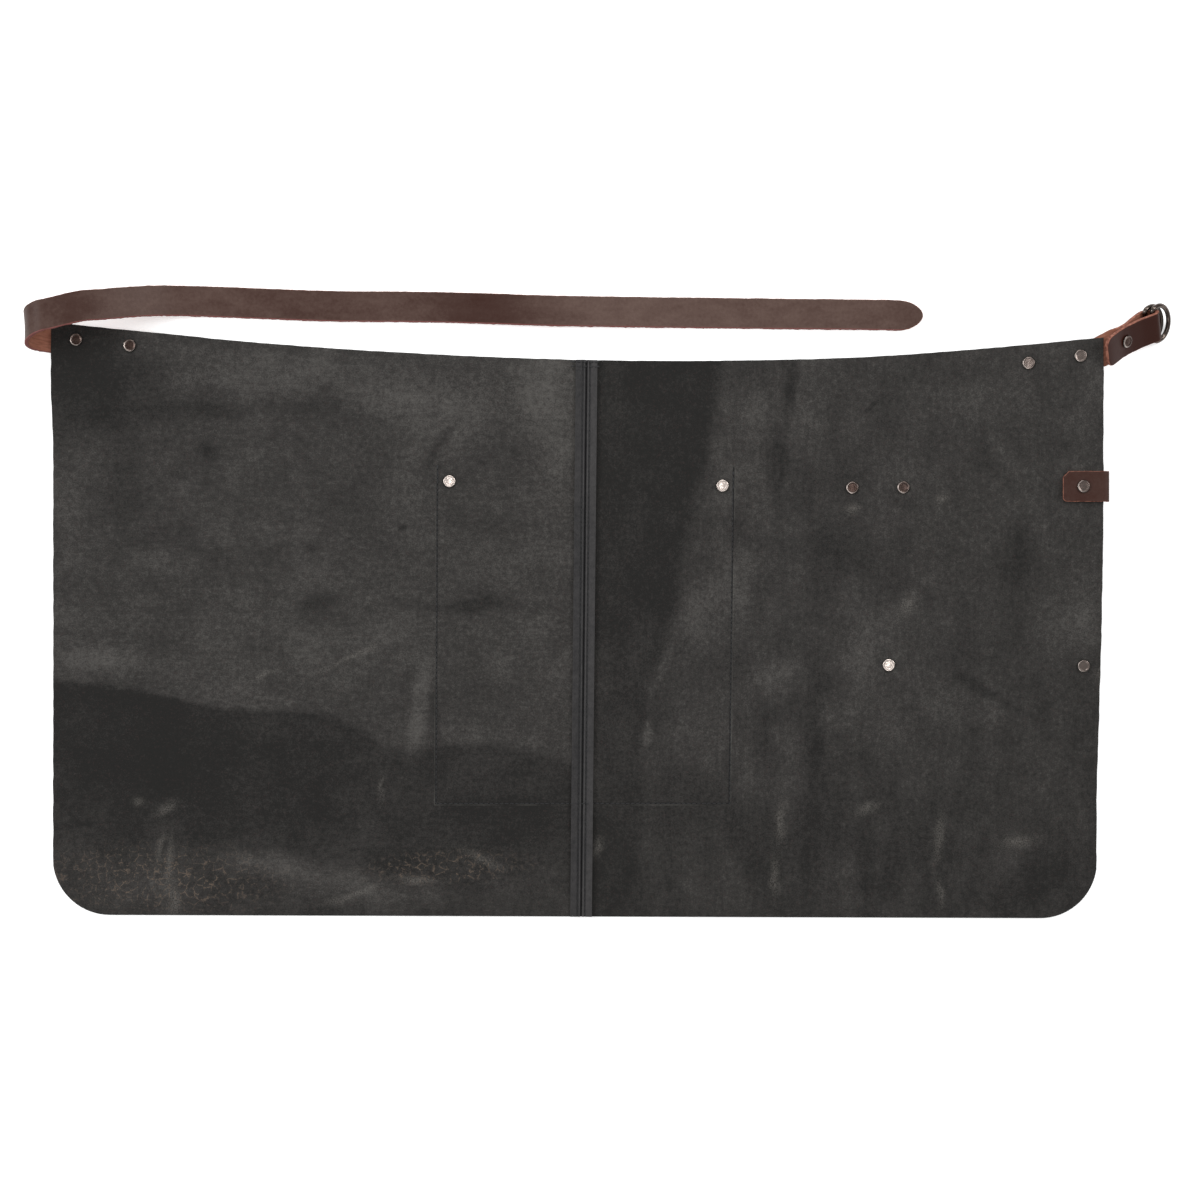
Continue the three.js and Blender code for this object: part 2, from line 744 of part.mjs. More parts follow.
function upperLoopStrap() {
  const wrapSteps = 6
  const backSteps = 3
  const across = vec(0, 1, 0)
  const stations = frontRun(upperLoopLength, upperLoopY, 0)
  const face = under(rightEdge, upperLoopY)
  const middle = vec(rightEdge + gap, upperLoopY, face + panelLeather / 2)
  const radius = panelLeather / 2 + gap + strapLeather / 2
  for (let i = 0; i <= wrapSteps; i++) {
    const angle = Math.PI * (i / wrapSteps - 0.5)
    const centre = vec(middle.x + radius * Math.cos(angle), middle.y, middle.z + radius * Math.sin(angle))
    stations.push(station(centre, across))
  }
  const back = (x) => vec(x, upperLoopY, under(x, upperLoopY) + panelLeather + gap + strapLeather / 2)
  const end = rightEdge - edgeTabLength
  for (let i = 1; i <= backSteps; i++) {
    const x = mix(middle.x, end + edgeTabChamfer, i / (backSteps + 1))
    stations.push(station(back(x), across))
  }
  for (const { left, near, far } of endRows(edgeTabCorner, edgeTabChamfer)) {
    stations.push(station(back(end + left), across, halfStrap - near, halfStrap - far))
  }
  return ribbon(stations, strapLeather)
}

const lowerLoopStrap = () =>
  ribbon(frontRun(lowerLoopLength, lowerLoopY, lowerEdgeRivetInset - strapEndMargin), strapLeather)

rivets.rivet_ring_fold = {
  centre: raised(foldRivetFoot).addScaledVector(foldFrame.out, layerStep / 2),
  axis: foldFrame.out,
  low: -layerStep / 2 - strapLeather / 2,
  high: layerStep / 2 + strapLeather / 2,
}

// Materials
const finish = (color, roughness, metalness) => () =>
  new THREE.MeshStandardMaterial({ color, roughness, metalness })
const blackLeather = finish(0x3a3938, 0.8, 0)
const brownLeather = finish(0x5a4740, 0.6, 0)
const darkNickel = finish(0x77706c, 0.35, 1)

// The apron
const apron = new THREE.Group()

function add(name, geometry, material) {
  const mesh = new THREE.Mesh(geometry, material())
  mesh.name = name
  apron.add(mesh)
}

const rivetsOf = (...words) => Object.keys(rivets).filter((name) => words.some((word) => name.includes(word)))

add('left_panel', punched(panels.left.geometry, rivetsOf('strap', 'pocket_left')), blackLeather)
add('right_panel', punched(panels.right.geometry, rivetsOf('tab', 'pocket_right', 'upper', 'lower')), blackLeather)
add('pocket', punched(pocketSheet.geometry, rivetsOf('pocket')), blackLeather)
add('long_strap', punched(longStrap(), rivetsOf('strap')), brownLeather)
add('ring_tab', punched(ringTab(), rivetsOf('tab', 'fold')), brownLeather)
add('upper_loop_strap', punched(upperLoopStrap(), rivetsOf('upper')), brownLeather)
add('lower_loop_strap', punched(lowerLoopStrap(), rivetsOf('lower')), brownLeather)
for (const [name, geometry] of Object.entries(rings)) {
  geometry.translate(0, 0, tabHeight)
  add(name, geometry, darkNickel)
}
for (const [name, rivet] of Object.entries(rivets)) add(name, rivetMesh(rivet), darkNickel)

export default apron
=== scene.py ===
# %% [markdown]
# # A short leather apron
# This apron is half length, cut from two pieces of black leather and joined by a seam down its
# middle. It lies on its face, so the napped flesh side is up. Brown straps are riveted under its top
# corners: a long one that ties round the waist, and a short one that carries two D-rings. The packed
# model is the fixed frame. Each piece below is a finer version of its solids, in the same place, and
# the stitches are added here.

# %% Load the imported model
import json

import bpy
import numpy as np
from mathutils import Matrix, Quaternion, Vector, noise


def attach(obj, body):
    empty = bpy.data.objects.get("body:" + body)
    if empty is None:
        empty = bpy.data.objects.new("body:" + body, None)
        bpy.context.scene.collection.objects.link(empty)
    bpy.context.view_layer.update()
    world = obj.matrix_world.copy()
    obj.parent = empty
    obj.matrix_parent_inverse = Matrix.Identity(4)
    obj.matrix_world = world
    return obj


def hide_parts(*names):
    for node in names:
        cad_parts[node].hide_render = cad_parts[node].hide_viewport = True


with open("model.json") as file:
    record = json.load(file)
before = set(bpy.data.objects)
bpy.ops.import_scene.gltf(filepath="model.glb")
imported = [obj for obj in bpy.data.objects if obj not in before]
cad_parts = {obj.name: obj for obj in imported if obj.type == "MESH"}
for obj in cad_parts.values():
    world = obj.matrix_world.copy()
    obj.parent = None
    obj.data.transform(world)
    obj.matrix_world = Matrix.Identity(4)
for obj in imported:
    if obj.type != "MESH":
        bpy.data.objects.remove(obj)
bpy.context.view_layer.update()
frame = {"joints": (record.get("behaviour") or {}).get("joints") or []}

# %% [markdown]
# ## Camera, light and floor
# The photograph looks straight down from about 2.4 m, with a portrait lens. Four softboxes stand
# round the table, and only a faint narrow strip hangs over it, as in a product studio: flat metal caps
# then look mid grey, and their rounded rims catch a box. The floor is one wide white square that glows
# faintly, so that it stays white under soft light.


# %% Camera
def mm(value):
    """Millimetres in Blender's metres, for a number or an array."""
    return value * 0.001


CAMERA_HEIGHT = mm(2400)
PICTURE_WIDTH = mm(996)
PICTURE_MIDDLE = (mm(14.1), mm(29.05))
SENSOR_WIDTH = 36

scene = bpy.context.scene
camera_data = bpy.data.cameras.new("camera")
camera_data.sensor_width = SENSOR_WIDTH
camera_data.lens = SENSOR_WIDTH * CAMERA_HEIGHT / PICTURE_WIDTH
camera = bpy.data.objects.new("camera", camera_data)
camera.location = (*PICTURE_MIDDLE, CAMERA_HEIGHT)
scene.collection.objects.link(camera)
scene.camera = camera
scene.view_settings.view_transform = "Standard"
print("lens", round(camera_data.lens, 1), "mm")


# %% Lights
def softbox(name, place, size, watts):
    """A square light that faces the middle of the apron. Returns its data."""
    data = bpy.data.lights.new(name, "AREA")
    data.size = size
    data.energy = watts
    light = bpy.data.objects.new(name, data)
    light.location = place
    light.rotation_mode = "QUATERNION"
    light.rotation_quaternion = (-Vector(place)).to_track_quat("-Z", "Y")
    scene.collection.objects.link(light)
    return data


softbox("softbox_left", (-2.3, 0.5, 1.9), 1.1, 34)
softbox("softbox_right", (2.2, 1.0, 1.9), 1.1, 30)
softbox("softbox_far", (0.1, 2.5, 2.1), 1.3, 30)
softbox("softbox_near", (-0.4, -2.4, 1.9), 1.1, 12)
strip_light = softbox("softbox_top", (0.0, 0.2, 2.7), 0.22, 5)
strip_light.shape = "RECTANGLE"
strip_light.size_y = 1.3

WORLD_STRENGTH = 0.5
world = bpy.data.worlds.new("studio")
scene.world = world
world.use_nodes = True
background = world.node_tree.nodes["Background"]
background.inputs["Color"].default_value = (1, 1, 1, 1)
background.inputs["Strength"].default_value = WORLD_STRENGTH


# %% Floor
def new_object(name, mesh):
    """Puts a mesh in the scene, at the origin."""
    made = bpy.data.objects.new(name, mesh)
    scene.collection.objects.link(made)
    return made


def new_material(name):
    """A material made of nodes, and its tree."""
    material = bpy.data.materials.new(name)
    material.use_nodes = True
    return material, material.node_tree


def plain_material(name, colour, roughness):
    material, tree = new_material(name)
    shader = tree.nodes["Principled BSDF"]
    shader.inputs["Base Color"].default_value = (*colour, 1)
    shader.inputs["Roughness"].default_value = roughness
    return material


FLOOR_HALF = 30
FLOOR_GLOW = 0.42
floor_mesh = bpy.data.meshes.new("floor")
floor_corners = [(-FLOOR_HALF, -FLOOR_HALF), (FLOOR_HALF, -FLOOR_HALF)]
floor_corners += [(FLOOR_HALF, FLOOR_HALF), (-FLOOR_HALF, FLOOR_HALF)]
floor_mesh.from_pydata([(x, y, 0) for x, y in floor_corners], [], [(0, 1, 2, 3)])
floor = new_object("floor", floor_mesh)
floor_white = plain_material("floor_white", (0.9, 0.9, 0.9), 0.9)
floor_shader = floor_white.node_tree.nodes["Principled BSDF"]
floor_shader.inputs["Emission Color"].default_value = (1, 1, 1, 1)
floor_shader.inputs["Emission Strength"].default_value = FLOOR_GLOW
floor_mesh.materials.append(floor_white)
print("five softboxes and a faintly lit white floor")

# %% [markdown]
# ## The apron's outline
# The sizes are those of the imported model, because these pieces have to lie exactly where its solids
# are. The top edge sags a little in the middle, the hem is straight with two round corners, and the
# seam leans slightly. One function gives each line.

# %% Outline
GAP = mm(0.35)
PANEL_LEATHER = mm(2)
STRAP_LEATHER = mm(3)
ALLOWANCE_LEATHER = mm(1.5)
LEFT_WIDTH = mm(439.5)
RIGHT_WIDTH = mm(426)
TOP_HEIGHT = mm(227.4)
LEFT_CORNER_RISE = mm(31.4)
RIGHT_CORNER_RISE = mm(16.5)
LEFT_TOP_BEND = 1.8
RIGHT_TOP_BEND = 2.2
LOWEST_TOP_X = 0.16 * RIGHT_WIDTH
HEM_DEPTH = mm(233.5)
HEM_TILT = mm(1.5)
HEM_CORNER_RADIUS = mm(47)
SEAM_TOP_OFFSET = mm(3)
SEAM_LEAN = mm(4.6)
ALLOWANCE_WIDTH = mm(9)
SEAM_GAP = mm(0.02)
LEFT_CORNER_Y = TOP_HEIGHT + LEFT_CORNER_RISE
RIGHT_CORNER_Y = TOP_HEIGHT + RIGHT_CORNER_RISE


def ramp(share):
    """A smooth step from 0 to 1."""
    share = np.clip(share, 0, 1)
    return share * share * (3 - 2 * share)


def mix(a, b, share):
    return a + (b - a) * share


def top_line(x):
    """The top edge, lowest a little right of the seam."""
    goes_left = x < LOWEST_TOP_X
    reach = np.where(goes_left, LOWEST_TOP_X + LEFT_WIDTH, RIGHT_WIDTH - LOWEST_TOP_X)
    rise = np.where(goes_left, LEFT_CORNER_RISE, RIGHT_CORNER_RISE)
    bend = np.where(goes_left, LEFT_TOP_BEND, RIGHT_TOP_BEND)
    return TOP_HEIGHT + rise * (np.abs(x - LOWEST_TOP_X) / reach) ** bend


def hem_line(x):
    """The hem, with a round corner at each end."""
    width = np.where(x < 0, LEFT_WIDTH, RIGHT_WIDTH)
    into = np.maximum(HEM_CORNER_RADIUS - (width - np.abs(x)), 0)
    cut = np.sqrt(np.maximum(HEM_CORNER_RADIUS**2 - into**2, 0))
    return -HEM_DEPTH - HEM_TILT * x / width + HEM_CORNER_RADIUS - cut


def seam_line(share):
    """The seam's place at a share of the way down."""
    return SEAM_TOP_OFFSET - SEAM_LEAN * share


print("top corners at", round(LEFT_CORNER_Y, 4), "and", round(RIGHT_CORNER_Y, 4), "m")

# %% [markdown]
# ## How the leather lies
# The apron rests on what is sewn and riveted under it: the pocket, the straps and the rivet caps.
# Each is a level pad with a soft fall round it. The top right corner stands highest, because the ring
# tab and its rings lie under it. A few long soft folds cross the panels. Adding all this up in one
# function, `under`, keeps every piece in contact with the next.

# %% Places of the straps and rivets
POCKET_WIDTH = mm(252)
POCKET_HEIGHT = mm(286)
CAP_RADIUS = mm(5.2)
CAP_HEIGHT = mm(1.7)
SHANK_RADIUS = mm(1.8)
STRAP_WIDTH = mm(25)
HALF_STRAP = STRAP_WIDTH / 2
STRAP_RIVET_INSET = mm(21)
STRAP_RIVET_SPACING = mm(44.6)
STRAP_END_MARGIN = mm(12)
STRAP_LINE_ANGLE = np.radians(6.2)
UPPER_LOOP_LENGTH = mm(203)
LOWER_LOOP_LENGTH = mm(173)
UPPER_LOOP_Y = RIGHT_CORNER_Y - mm(122)
LOWER_LOOP_Y = RIGHT_CORNER_Y - mm(268.5)
STRAP_END = STRAP_RIVET_INSET + STRAP_RIVET_SPACING + STRAP_END_MARGIN
STRAP_LINE = Vector((np.cos(STRAP_LINE_ANGLE), -np.sin(STRAP_LINE_ANGLE), 0))
STRAP_EDGE = Vector((-LEFT_WIDTH, LEFT_CORNER_Y - HALF_STRAP, 0))
POCKET_RIVET_X = POCKET_WIDTH / 2 - mm(12.5)
POCKET_RIVET_Y = POCKET_HEIGHT / 2 - mm(17.5)
STRAP_STACK = CAP_HEIGHT + STRAP_LEATHER + 2 * GAP
RIVET_STACK = CAP_HEIGHT + 2 * GAP
TIE_STRAP_LIFT = mm(4)


def loop_pad(length, y):
    """The pad over a loop strap that runs in from the right edge."""
    half_x = length / 2 + STRAP_END_MARGIN
    return dict(x=RIGHT_WIDTH - length / 2, y=y, half_x=half_x, half_y=HALF_STRAP, rise=STRAP_STACK)


pocket_pads = [
    dict(x=x, y=POCKET_RIVET_Y, half_x=CAP_RADIUS, half_y=CAP_RADIUS, rise=RIVET_STACK)
    for x in (-POCKET_RIVET_X, POCKET_RIVET_X)
]
panel_pads = pocket_pads + [
    dict(x=0, y=0, half_x=POCKET_WIDTH / 2, half_y=POCKET_HEIGHT / 2, rise=PANEL_LEATHER + GAP),
    dict(
        x=-LEFT_WIDTH + STRAP_END / 2,
        y=STRAP_EDGE.y - STRAP_END / 2 * np.sin(STRAP_LINE_ANGLE),
        half_x=STRAP_END / 2,
        half_y=HALF_STRAP,
        rise=STRAP_STACK + TIE_STRAP_LIFT,
    ),
    loop_pad(UPPER_LOOP_LENGTH, UPPER_LOOP_Y),
    loop_pad(LOWER_LOOP_LENGTH, LOWER_LOOP_Y),
]
folds = [
    dict(x=-0.32, lean=0.02, top=0.9, foot=-0.95, rise=0.7, reach=1.2),
    dict(x=0.4, lean=0.05, top=0.95, foot=-0.9, rise=0.8, reach=1.3),
    dict(x=-0.72, lean=-0.12, top=0.3, foot=-0.8, rise=0.8, reach=2.2),
    dict(x=0.66, lean=0.1, top=-0.2, foot=-1, rise=0.9, reach=2),
]
print(len(panel_pads), "pads and", len(folds), "folds hold the panels up")

# %% [markdown]
# ## The ring tab's frame
# The tab leaves the corner, turns, dips and rolls, so that its rings come to rest on the table. Its
# frame at a distance past the edge is three directions: along the strap, across it, and out of its
# flesh side. Walking that frame in short steps gives the place of the two bars. How far the joint in
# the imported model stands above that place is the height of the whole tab.

# %% Tab frame
TAB_LINE_ANGLE = 7.7
TAB_HEADING = 28.5
TAB_DIP = np.radians(28)
TAB_ROLL = np.radians(33)
TAB_TURN_LENGTH = mm(12)
TAB_RIVET_INSET = mm(19.6)
TAB_RIVET_SPACING = mm(41.9)
TAB_CLEAR = mm(6)
TAB_BEND_LENGTH = mm(12)
FOLD_LENGTH = mm(33)
FLAP_OVERHANG = mm(24.5)
FLAP_CORNER = mm(4)
FLAP_FAR_CORNER = mm(7)
FLAP_RAISE = mm(3.2)
WIRE_RADIUS = mm(2)
RING_SETBACK = mm(4)
UP = Vector((0, 0, 1))


def tab_frame(distance):
    """Directions along the tab, across it and out of its flesh side."""
    turned = ramp((distance + TAB_TURN_LENGTH) / TAB_TURN_LENGTH)
    bent = ramp((distance - TAB_CLEAR) / TAB_BEND_LENGTH)
    heading = np.radians(mix(TAB_LINE_ANGLE, TAB_HEADING, turned))
    dip = TAB_DIP * bent
    flat = np.cos(dip)
    along = Vector((flat * np.cos(heading), flat * np.sin(heading), -np.sin(dip)))
    level = Vector((-np.sin(heading), np.cos(heading), 0))
    across = Quaternion(along, TAB_ROLL * bent) @ level
    return along, across, along.cross(across)


def walk_tab(start, distance):
    """The place that is a distance along the tab."""
    steps = int(np.ceil(abs(distance) / mm(1)))
    place = start.copy()
    for i in range(steps):
        place += tab_frame((i + 0.5) * distance / steps)[0] * (distance / steps)
    return place


TAB_EDGE = Vector((RIGHT_WIDTH, RIGHT_CORNER_Y - HALF_STRAP + mm(2), 0))
FOLD_START = TAB_CLEAR + TAB_BEND_LENGTH
TAB_STRAIGHT = mm(1.5)
fold_along, fold_across, fold_out = tab_frame(FOLD_START)
RING_DROP = 2 * WIRE_RADIUS + GAP
LAYER_STEP = STRAP_LEATHER + GAP
WRAP_RADIUS = WIRE_RADIUS + 2 * GAP + STRAP_LEATHER / 2
fold_rivet_foot = walk_tab(TAB_EDGE, FOLD_START + TAB_STRAIGHT)
outer_bar = fold_rivet_foot + fold_along * FOLD_LENGTH + fold_out * (RING_DROP + LAYER_STEP) / 2
outer_joint = next(joint for joint in frame["joints"] if joint["name"] == "outer_ring_swing")
TAB_HEIGHT = outer_joint["pos_m"][2] - outer_bar.z
CORNER_LIFT = TAB_HEIGHT + STRAP_LEATHER / 2 + GAP


def in_fold(along, out):
    """A place in the tab's fold, measured from the outer ring's bar."""
    return outer_bar + fold_along * along + fold_out * out + UP * TAB_HEIGHT


print("the corner is lifted by", round(CORNER_LIFT * 1000, 1), "mm")

# %% [markdown]
# ## Height of every place
# `under` is the height of the panels' underside, and everything else is laid against it.

# %% Drape
CELL = mm(23)
PAD_FALL = mm(55)
# the lifted corner: where its lift starts and is full, as shares of the width, and how far down it
# stays full and ends, as shares of the height
LIFT_START_X = 0.46
LIFT_FULL_X = 0.955
LIFT_FULL_DOWN = 0.27
LIFT_END_DOWN = 0.85


def pad_height(pad, x, y):
    """How far a pad lifts the leather over it and round it."""
    out_x = np.maximum(np.abs(x - pad["x"]) - pad["half_x"] - CELL, 0)
    out_y = np.maximum(np.abs(y - pad["y"]) - pad["half_y"] - CELL, 0)
    return pad["rise"] * (1 - ramp(np.hypot(out_x, out_y) / PAD_FALL))


def fold_height(fold, x, y):
    """The height of a long soft fold, highest halfway along it."""
    width = LEFT_WIDTH if fold["x"] < 0 else RIGHT_WIDTH
    share = y / np.where(y > 0, TOP_HEIGHT, HEM_DEPTH)
    run = np.abs(2 * share - fold["top"] - fold["foot"]) / (fold["top"] - fold["foot"])
    off = x - width * (fold["x"] + fold["lean"] * share)
    across = np.exp(-((off / (fold["reach"] * CELL)) ** 2))
    return fold["rise"] * STRAP_LEATHER * across * (1 - ramp(run))


def lifted_share(x, y):
    """1 at the lifted right corner, and 0 where the apron lies."""
    fallen = (RIGHT_CORNER_Y - y) / (RIGHT_CORNER_Y + HEM_DEPTH)
    across = ramp((x / RIGHT_WIDTH - LIFT_START_X) / (LIFT_FULL_X - LIFT_START_X))
    return across * (1 - ramp((fallen - LIFT_FULL_DOWN) / (LIFT_END_DOWN - LIFT_FULL_DOWN)))


def under(x, y):
    """Height of the panels' underside."""
    lifted = lifted_share(x, y)
    resting = sum(pad_height(pad, x, y) for pad in panel_pads)
    resting = resting + sum(fold_height(fold, x, y) for fold in folds)
    return CORNER_LIFT * lifted + resting * (1 - lifted)


def pocket_under(x, y):
    """Height of the pocket's underside."""
    return sum(pad_height(pad, x, y) for pad in pocket_pads)


def panel_normal(x, y):
    """The way that the panels face."""
    slope_x = (under(x + CAP_RADIUS, y) - under(x - CAP_RADIUS, y)) / (2 * CAP_RADIUS)
    slope_y = (under(x, y + CAP_RADIUS) - under(x, y - CAP_RADIUS)) / (2 * CAP_RADIUS)
    return Vector((-slope_x, -slope_y, 1)).normalized()


def wander(x, y, size, seed):
    """Smooth noise from about -1 to 1, with blotches of a size."""
    places = np.stack([np.ravel(x) / size, np.ravel(y) / size], 1)
    values = [noise.noise((px, py, seed)) for px, py in places.tolist()]
    return np.array(values).reshape(np.shape(x))


print("the panels stand", round(float(under(0, 0)) * 1000, 2), "mm high at the middle")

# %% [markdown]
# ## Cut leather as a closed sheet
# Every leather piece is a sheet with two faces and a cut edge. A cut edge could be a Solidify and a
# Bevel modifier, but here the two faces are grids of points that the code already knows, so the sheet
# is closed by hand: rings of points go round between the two faces and swell out a little, as an edge
# does when it is burnished. Attributes say which face is which, for the materials to read.

# %% Closed sheet
EDGE_LEVELS = (0.92, 0.6, 0, -0.6, -0.92)


def boundary(rows, columns):
    """The outer points of a grid, in order."""
    row = [0] * (columns - 1) + list(range(rows - 1))
    row += [rows - 1] * (columns - 1) + list(range(rows - 1, 0, -1))
    column = list(range(columns - 1)) + [columns - 1] * (rows - 1)
    column += list(range(columns - 1, 0, -1)) + [0] * (rows - 1)
    return np.array(row), np.array(column)


def unit(vectors):
    return vectors / np.maximum(np.linalg.norm(vectors, axis=-1, keepdims=True), 1e-12)


def edge_rings(flesh, grain, row, column, bulge):
    """Rings of points between the two faces, swelling out by the bulge."""
    middle = (flesh[row, column] + grain[row, column]) / 2
    half = (flesh[row, column] - grain[row, column]) / 2
    outward = unit(np.cross(np.roll(middle, -1, 0) - np.roll(middle, 1, 0), half))
    inner_row = np.clip(row, 1, flesh.shape[0] - 2)
    inner_column = np.clip(column, 1, flesh.shape[1] - 2)
    inner = (flesh[inner_row, inner_column] + grain[inner_row, inner_column]) / 2
    if np.median(np.sum(outward * (middle - inner), 1)) < 0:
        outward = -outward
    return [middle + half * s + outward * bulge * (1 - s**4) ** 0.25 for s in EDGE_LEVELS]


def sheet_faces(rows, columns, loop, ring_count):
    """Four-sided faces of both grids and of the bands between them."""
    corner = np.arange(rows * columns).reshape(rows, columns)
    a, b = corner[:-1, :-1].ravel(), corner[:-1, 1:].ravel()
    c, d = corner[1:, 1:].ravel(), corner[1:, :-1].ravel()
    other = rows * columns
    faces = [np.stack([a, b, c, d], 1), np.stack([a, d, c, b], 1) + other]
    count = len(loop)
    bands = [loop]
    bands += [2 * other + k * count + np.arange(count) for k in range(ring_count)]
    bands.append(loop + other)
    for band, after in zip(bands, bands[1:]):
        faces.append(np.stack([np.roll(band, -1), band, after, np.roll(after, -1)], 1))
    return np.concatenate(faces)


def signed_volume(points, faces):
    a, b, c, d = (points[faces[:, k]] for k in range(4))
    return float(np.sum(a * np.cross(b, c)) + np.sum(a * np.cross(c, d))) / 6


def closed_sheet(name, flesh, grain, bulge, marks):
    """A closed mesh between two grids. marks holds a grid of values for each attribute."""
    rows, columns = flesh.shape[:2]
    row, column = boundary(rows, columns)
    rings = edge_rings(flesh, grain, row, column, bulge)
    points = np.concatenate([flesh.reshape(-1, 3), grain.reshape(-1, 3), *rings])
    faces = sheet_faces(rows, columns, row * columns + column, len(rings))
    if signed_volume(points, faces) < 0:
        faces = faces[:, ::-1]
    mesh = bpy.data.meshes.new(name)
    mesh.from_pydata(points.tolist(), [], faces.tolist())
    mesh.polygons.foreach_set("use_smooth", np.ones(len(faces), bool))
    ring_points = len(row) * len(rings)
    size = rows * columns
    attributes = {
        "flesh": np.r_[np.ones(size), np.zeros(size), np.full(ring_points, 0.5)],
        "cut": np.r_[np.zeros(2 * size), np.ones(ring_points)],
    }
    for key, values in marks.items():
        at_edge = np.tile(values[row, column], (len(rings),) + (1,) * (values.ndim - 2))
        flat = values.reshape(size, -1)
        both = [flat, flat, at_edge.reshape(ring_points, -1)]
        attributes[key] = np.concatenate(both).squeeze()
    for key, values in attributes.items():
        kind, field = ("FLOAT", "value") if values.ndim == 1 else ("FLOAT_VECTOR", "vector")
        made = mesh.attributes.new(key, kind, "POINT")
        made.data.foreach_set(field, values.astype(np.float32).ravel())
    mesh.update()
    print(name, len(faces), "faces")
    return new_object(name, mesh)


# %% [markdown]
# ## Wear on the black leather
# The back of a used hide is never one grey. This one has a damp-dark band across the lower left, a
# dark stripe beside the seam, pale patches, pale scuffs and crackled stretches along the hem, and
# painted shade and painted highlight along a few creases, folds and ridges. Most are rows of a short
# list: where the mark is on the apron in millimetres, how far it reaches both ways, its turn in degrees
# and how much lighter or darker it is. Noise bends their edges, so that none looks like an ellipse. The
# values go into attributes of the panels, and the leather material reads them.

# %% Named marks
# The marks on creases, folds and ridges are painted shade and painted highlight: dark where shade falls in
# a crease or beside a fold, pale where a fold or ridge catches the light.
soft_marks = [
    dict(name="dark corner", x=-425, y=222, long=66, wide=46, turn=-20, tone=-0.74),
    dict(name="smear under the corner", x=-292, y=190, long=78, wide=7, turn=0, tone=-0.3),
    dict(name="thumb patch", x=-312, y=152, long=9, wide=8, turn=0, tone=-0.45),
    dict(name="second patch", x=-337, y=133, long=8, wide=7, turn=10, tone=-0.3),
    dict(name="dark left middle", x=-396, y=120, long=32, wide=26, turn=40, tone=-0.22),
    dict(name="pale top middle", x=-300, y=226, long=90, wide=16, turn=-5, tone=0.2),
    dict(name="pale by the seam", x=-30, y=185, long=66, wide=26, turn=96, tone=0.42),
    dict(name="pale upper run", x=-125, y=190, long=58, wide=18, turn=-8, tone=0.22),
    dict(name="crease shadow", x=-117, y=160, long=20, wide=4, turn=52, tone=-0.4),
    dict(name="dark streak", x=-92, y=22, long=66, wide=7, turn=-3, tone=-0.34),
    dict(name="dark streak end", x=-218, y=27, long=18, wide=6, turn=20, tone=-0.32),
    dict(name="pale under streak", x=-190, y=-8, long=70, wide=16, turn=12, tone=0.2),
    dict(name="pale left edge", x=-400, y=-20, long=36, wide=15, turn=-8, tone=0.26),
    # painted highlight along a fold, and painted shade beside it
    dict(name="rubbed fold", x=-137, y=-60, long=36, wide=7, turn=80, tone=0.42),
    dict(name="beside the fold", x=-125, y=-72, long=22, wide=5, turn=84, tone=-0.28),
    dict(name="ink spot", x=-151, y=89, long=3, wide=2.6, turn=0, tone=-0.8),
    dict(name="nick", x=-227, y=75, long=8, wide=1.6, turn=-42, tone=-0.6),
    # painted shade in a crease
    dict(name="edge crease", x=-419, y=-154, long=17, wide=1.6, turn=14, tone=-0.5),
    dict(name="darkest of the band", x=-330, y=-86, long=80, wide=26, turn=-6, tone=-0.16),
    dict(name="rubbed hem left", x=-236, y=-197, long=60, wide=14, turn=-11, tone=0.5),
    dict(name="rubbed hem middle", x=-130, y=-214, long=80, wide=12, turn=-4, tone=0.24),
    dict(name="pale crackled corner", x=-362, y=-203, long=72, wide=22, turn=-2, tone=0.26),
    dict(name="dark above the hem", x=-68, y=-150, long=54, wide=20, turn=-6, tone=-0.2),
    dict(name="stripe by the seam", x=172, y=206, long=22, wide=6, turn=84, tone=-0.5),
    dict(name="stripe lower down", x=162, y=138, long=44, wide=6, turn=86, tone=-0.32),
    dict(name="long dark fold", x=191, y=-128, long=112, wide=11, turn=88, tone=-0.36),
    dict(name="dark over the loop", x=206, y=74, long=30, wide=22, turn=90, tone=-0.26),
    dict(name="pale top right", x=330, y=196, long=58, wide=17, turn=6, tone=0.2),
    dict(name="pale by the tab", x=348, y=150, long=20, wide=9, turn=-52, tone=0.3),
    dict(name="pale right edge", x=409, y=16, long=24, wide=14, turn=100, tone=0.3),
    dict(name="dark by the edge tab", x=352, y=72, long=32, wide=13, turn=80, tone=-0.34),
    dict(name="pale round the rivet", x=232, y=-6, long=34, wide=20, turn=70, tone=0.28),
    dict(name="pale over the pocket", x=92, y=12, long=32, wide=26, turn=60, tone=0.34),
    dict(name="pale pocket edge", x=132, y=40, long=32, wide=11, turn=92, tone=0.24),
    dict(name="pale patch", x=160, y=-34, long=20, wide=18, turn=0, tone=0.28),
    dict(name="pale lower pocket", x=90, y=-96, long=36, wide=26, turn=60, tone=0.16),
    # painted highlights along a ridge
    dict(name="rubbed ridge", x=54, y=-78, long=17, wide=4, turn=82, tone=0.55),
    dict(name="rubbed ridge top", x=62, y=-30, long=24, wide=5, turn=72, tone=0.26),
    dict(name="dark right pocket", x=282, y=-74, long=30, wide=14, turn=-40, tone=-0.2),
    # painted shade in two creases
    dict(name="curved crease", x=240, y=190, long=10, wide=2, turn=38, tone=-0.5),
    dict(name="long crease", x=334, y=-47, long=34, wide=4, turn=-28, tone=-0.42),
    dict(name="dark hem right", x=365, y=-205, long=36, wide=20, turn=30, tone=-0.26),
    dict(name="dark hem middle", x=250, y=-200, long=34, wide=22, turn=60, tone=-0.1),
]
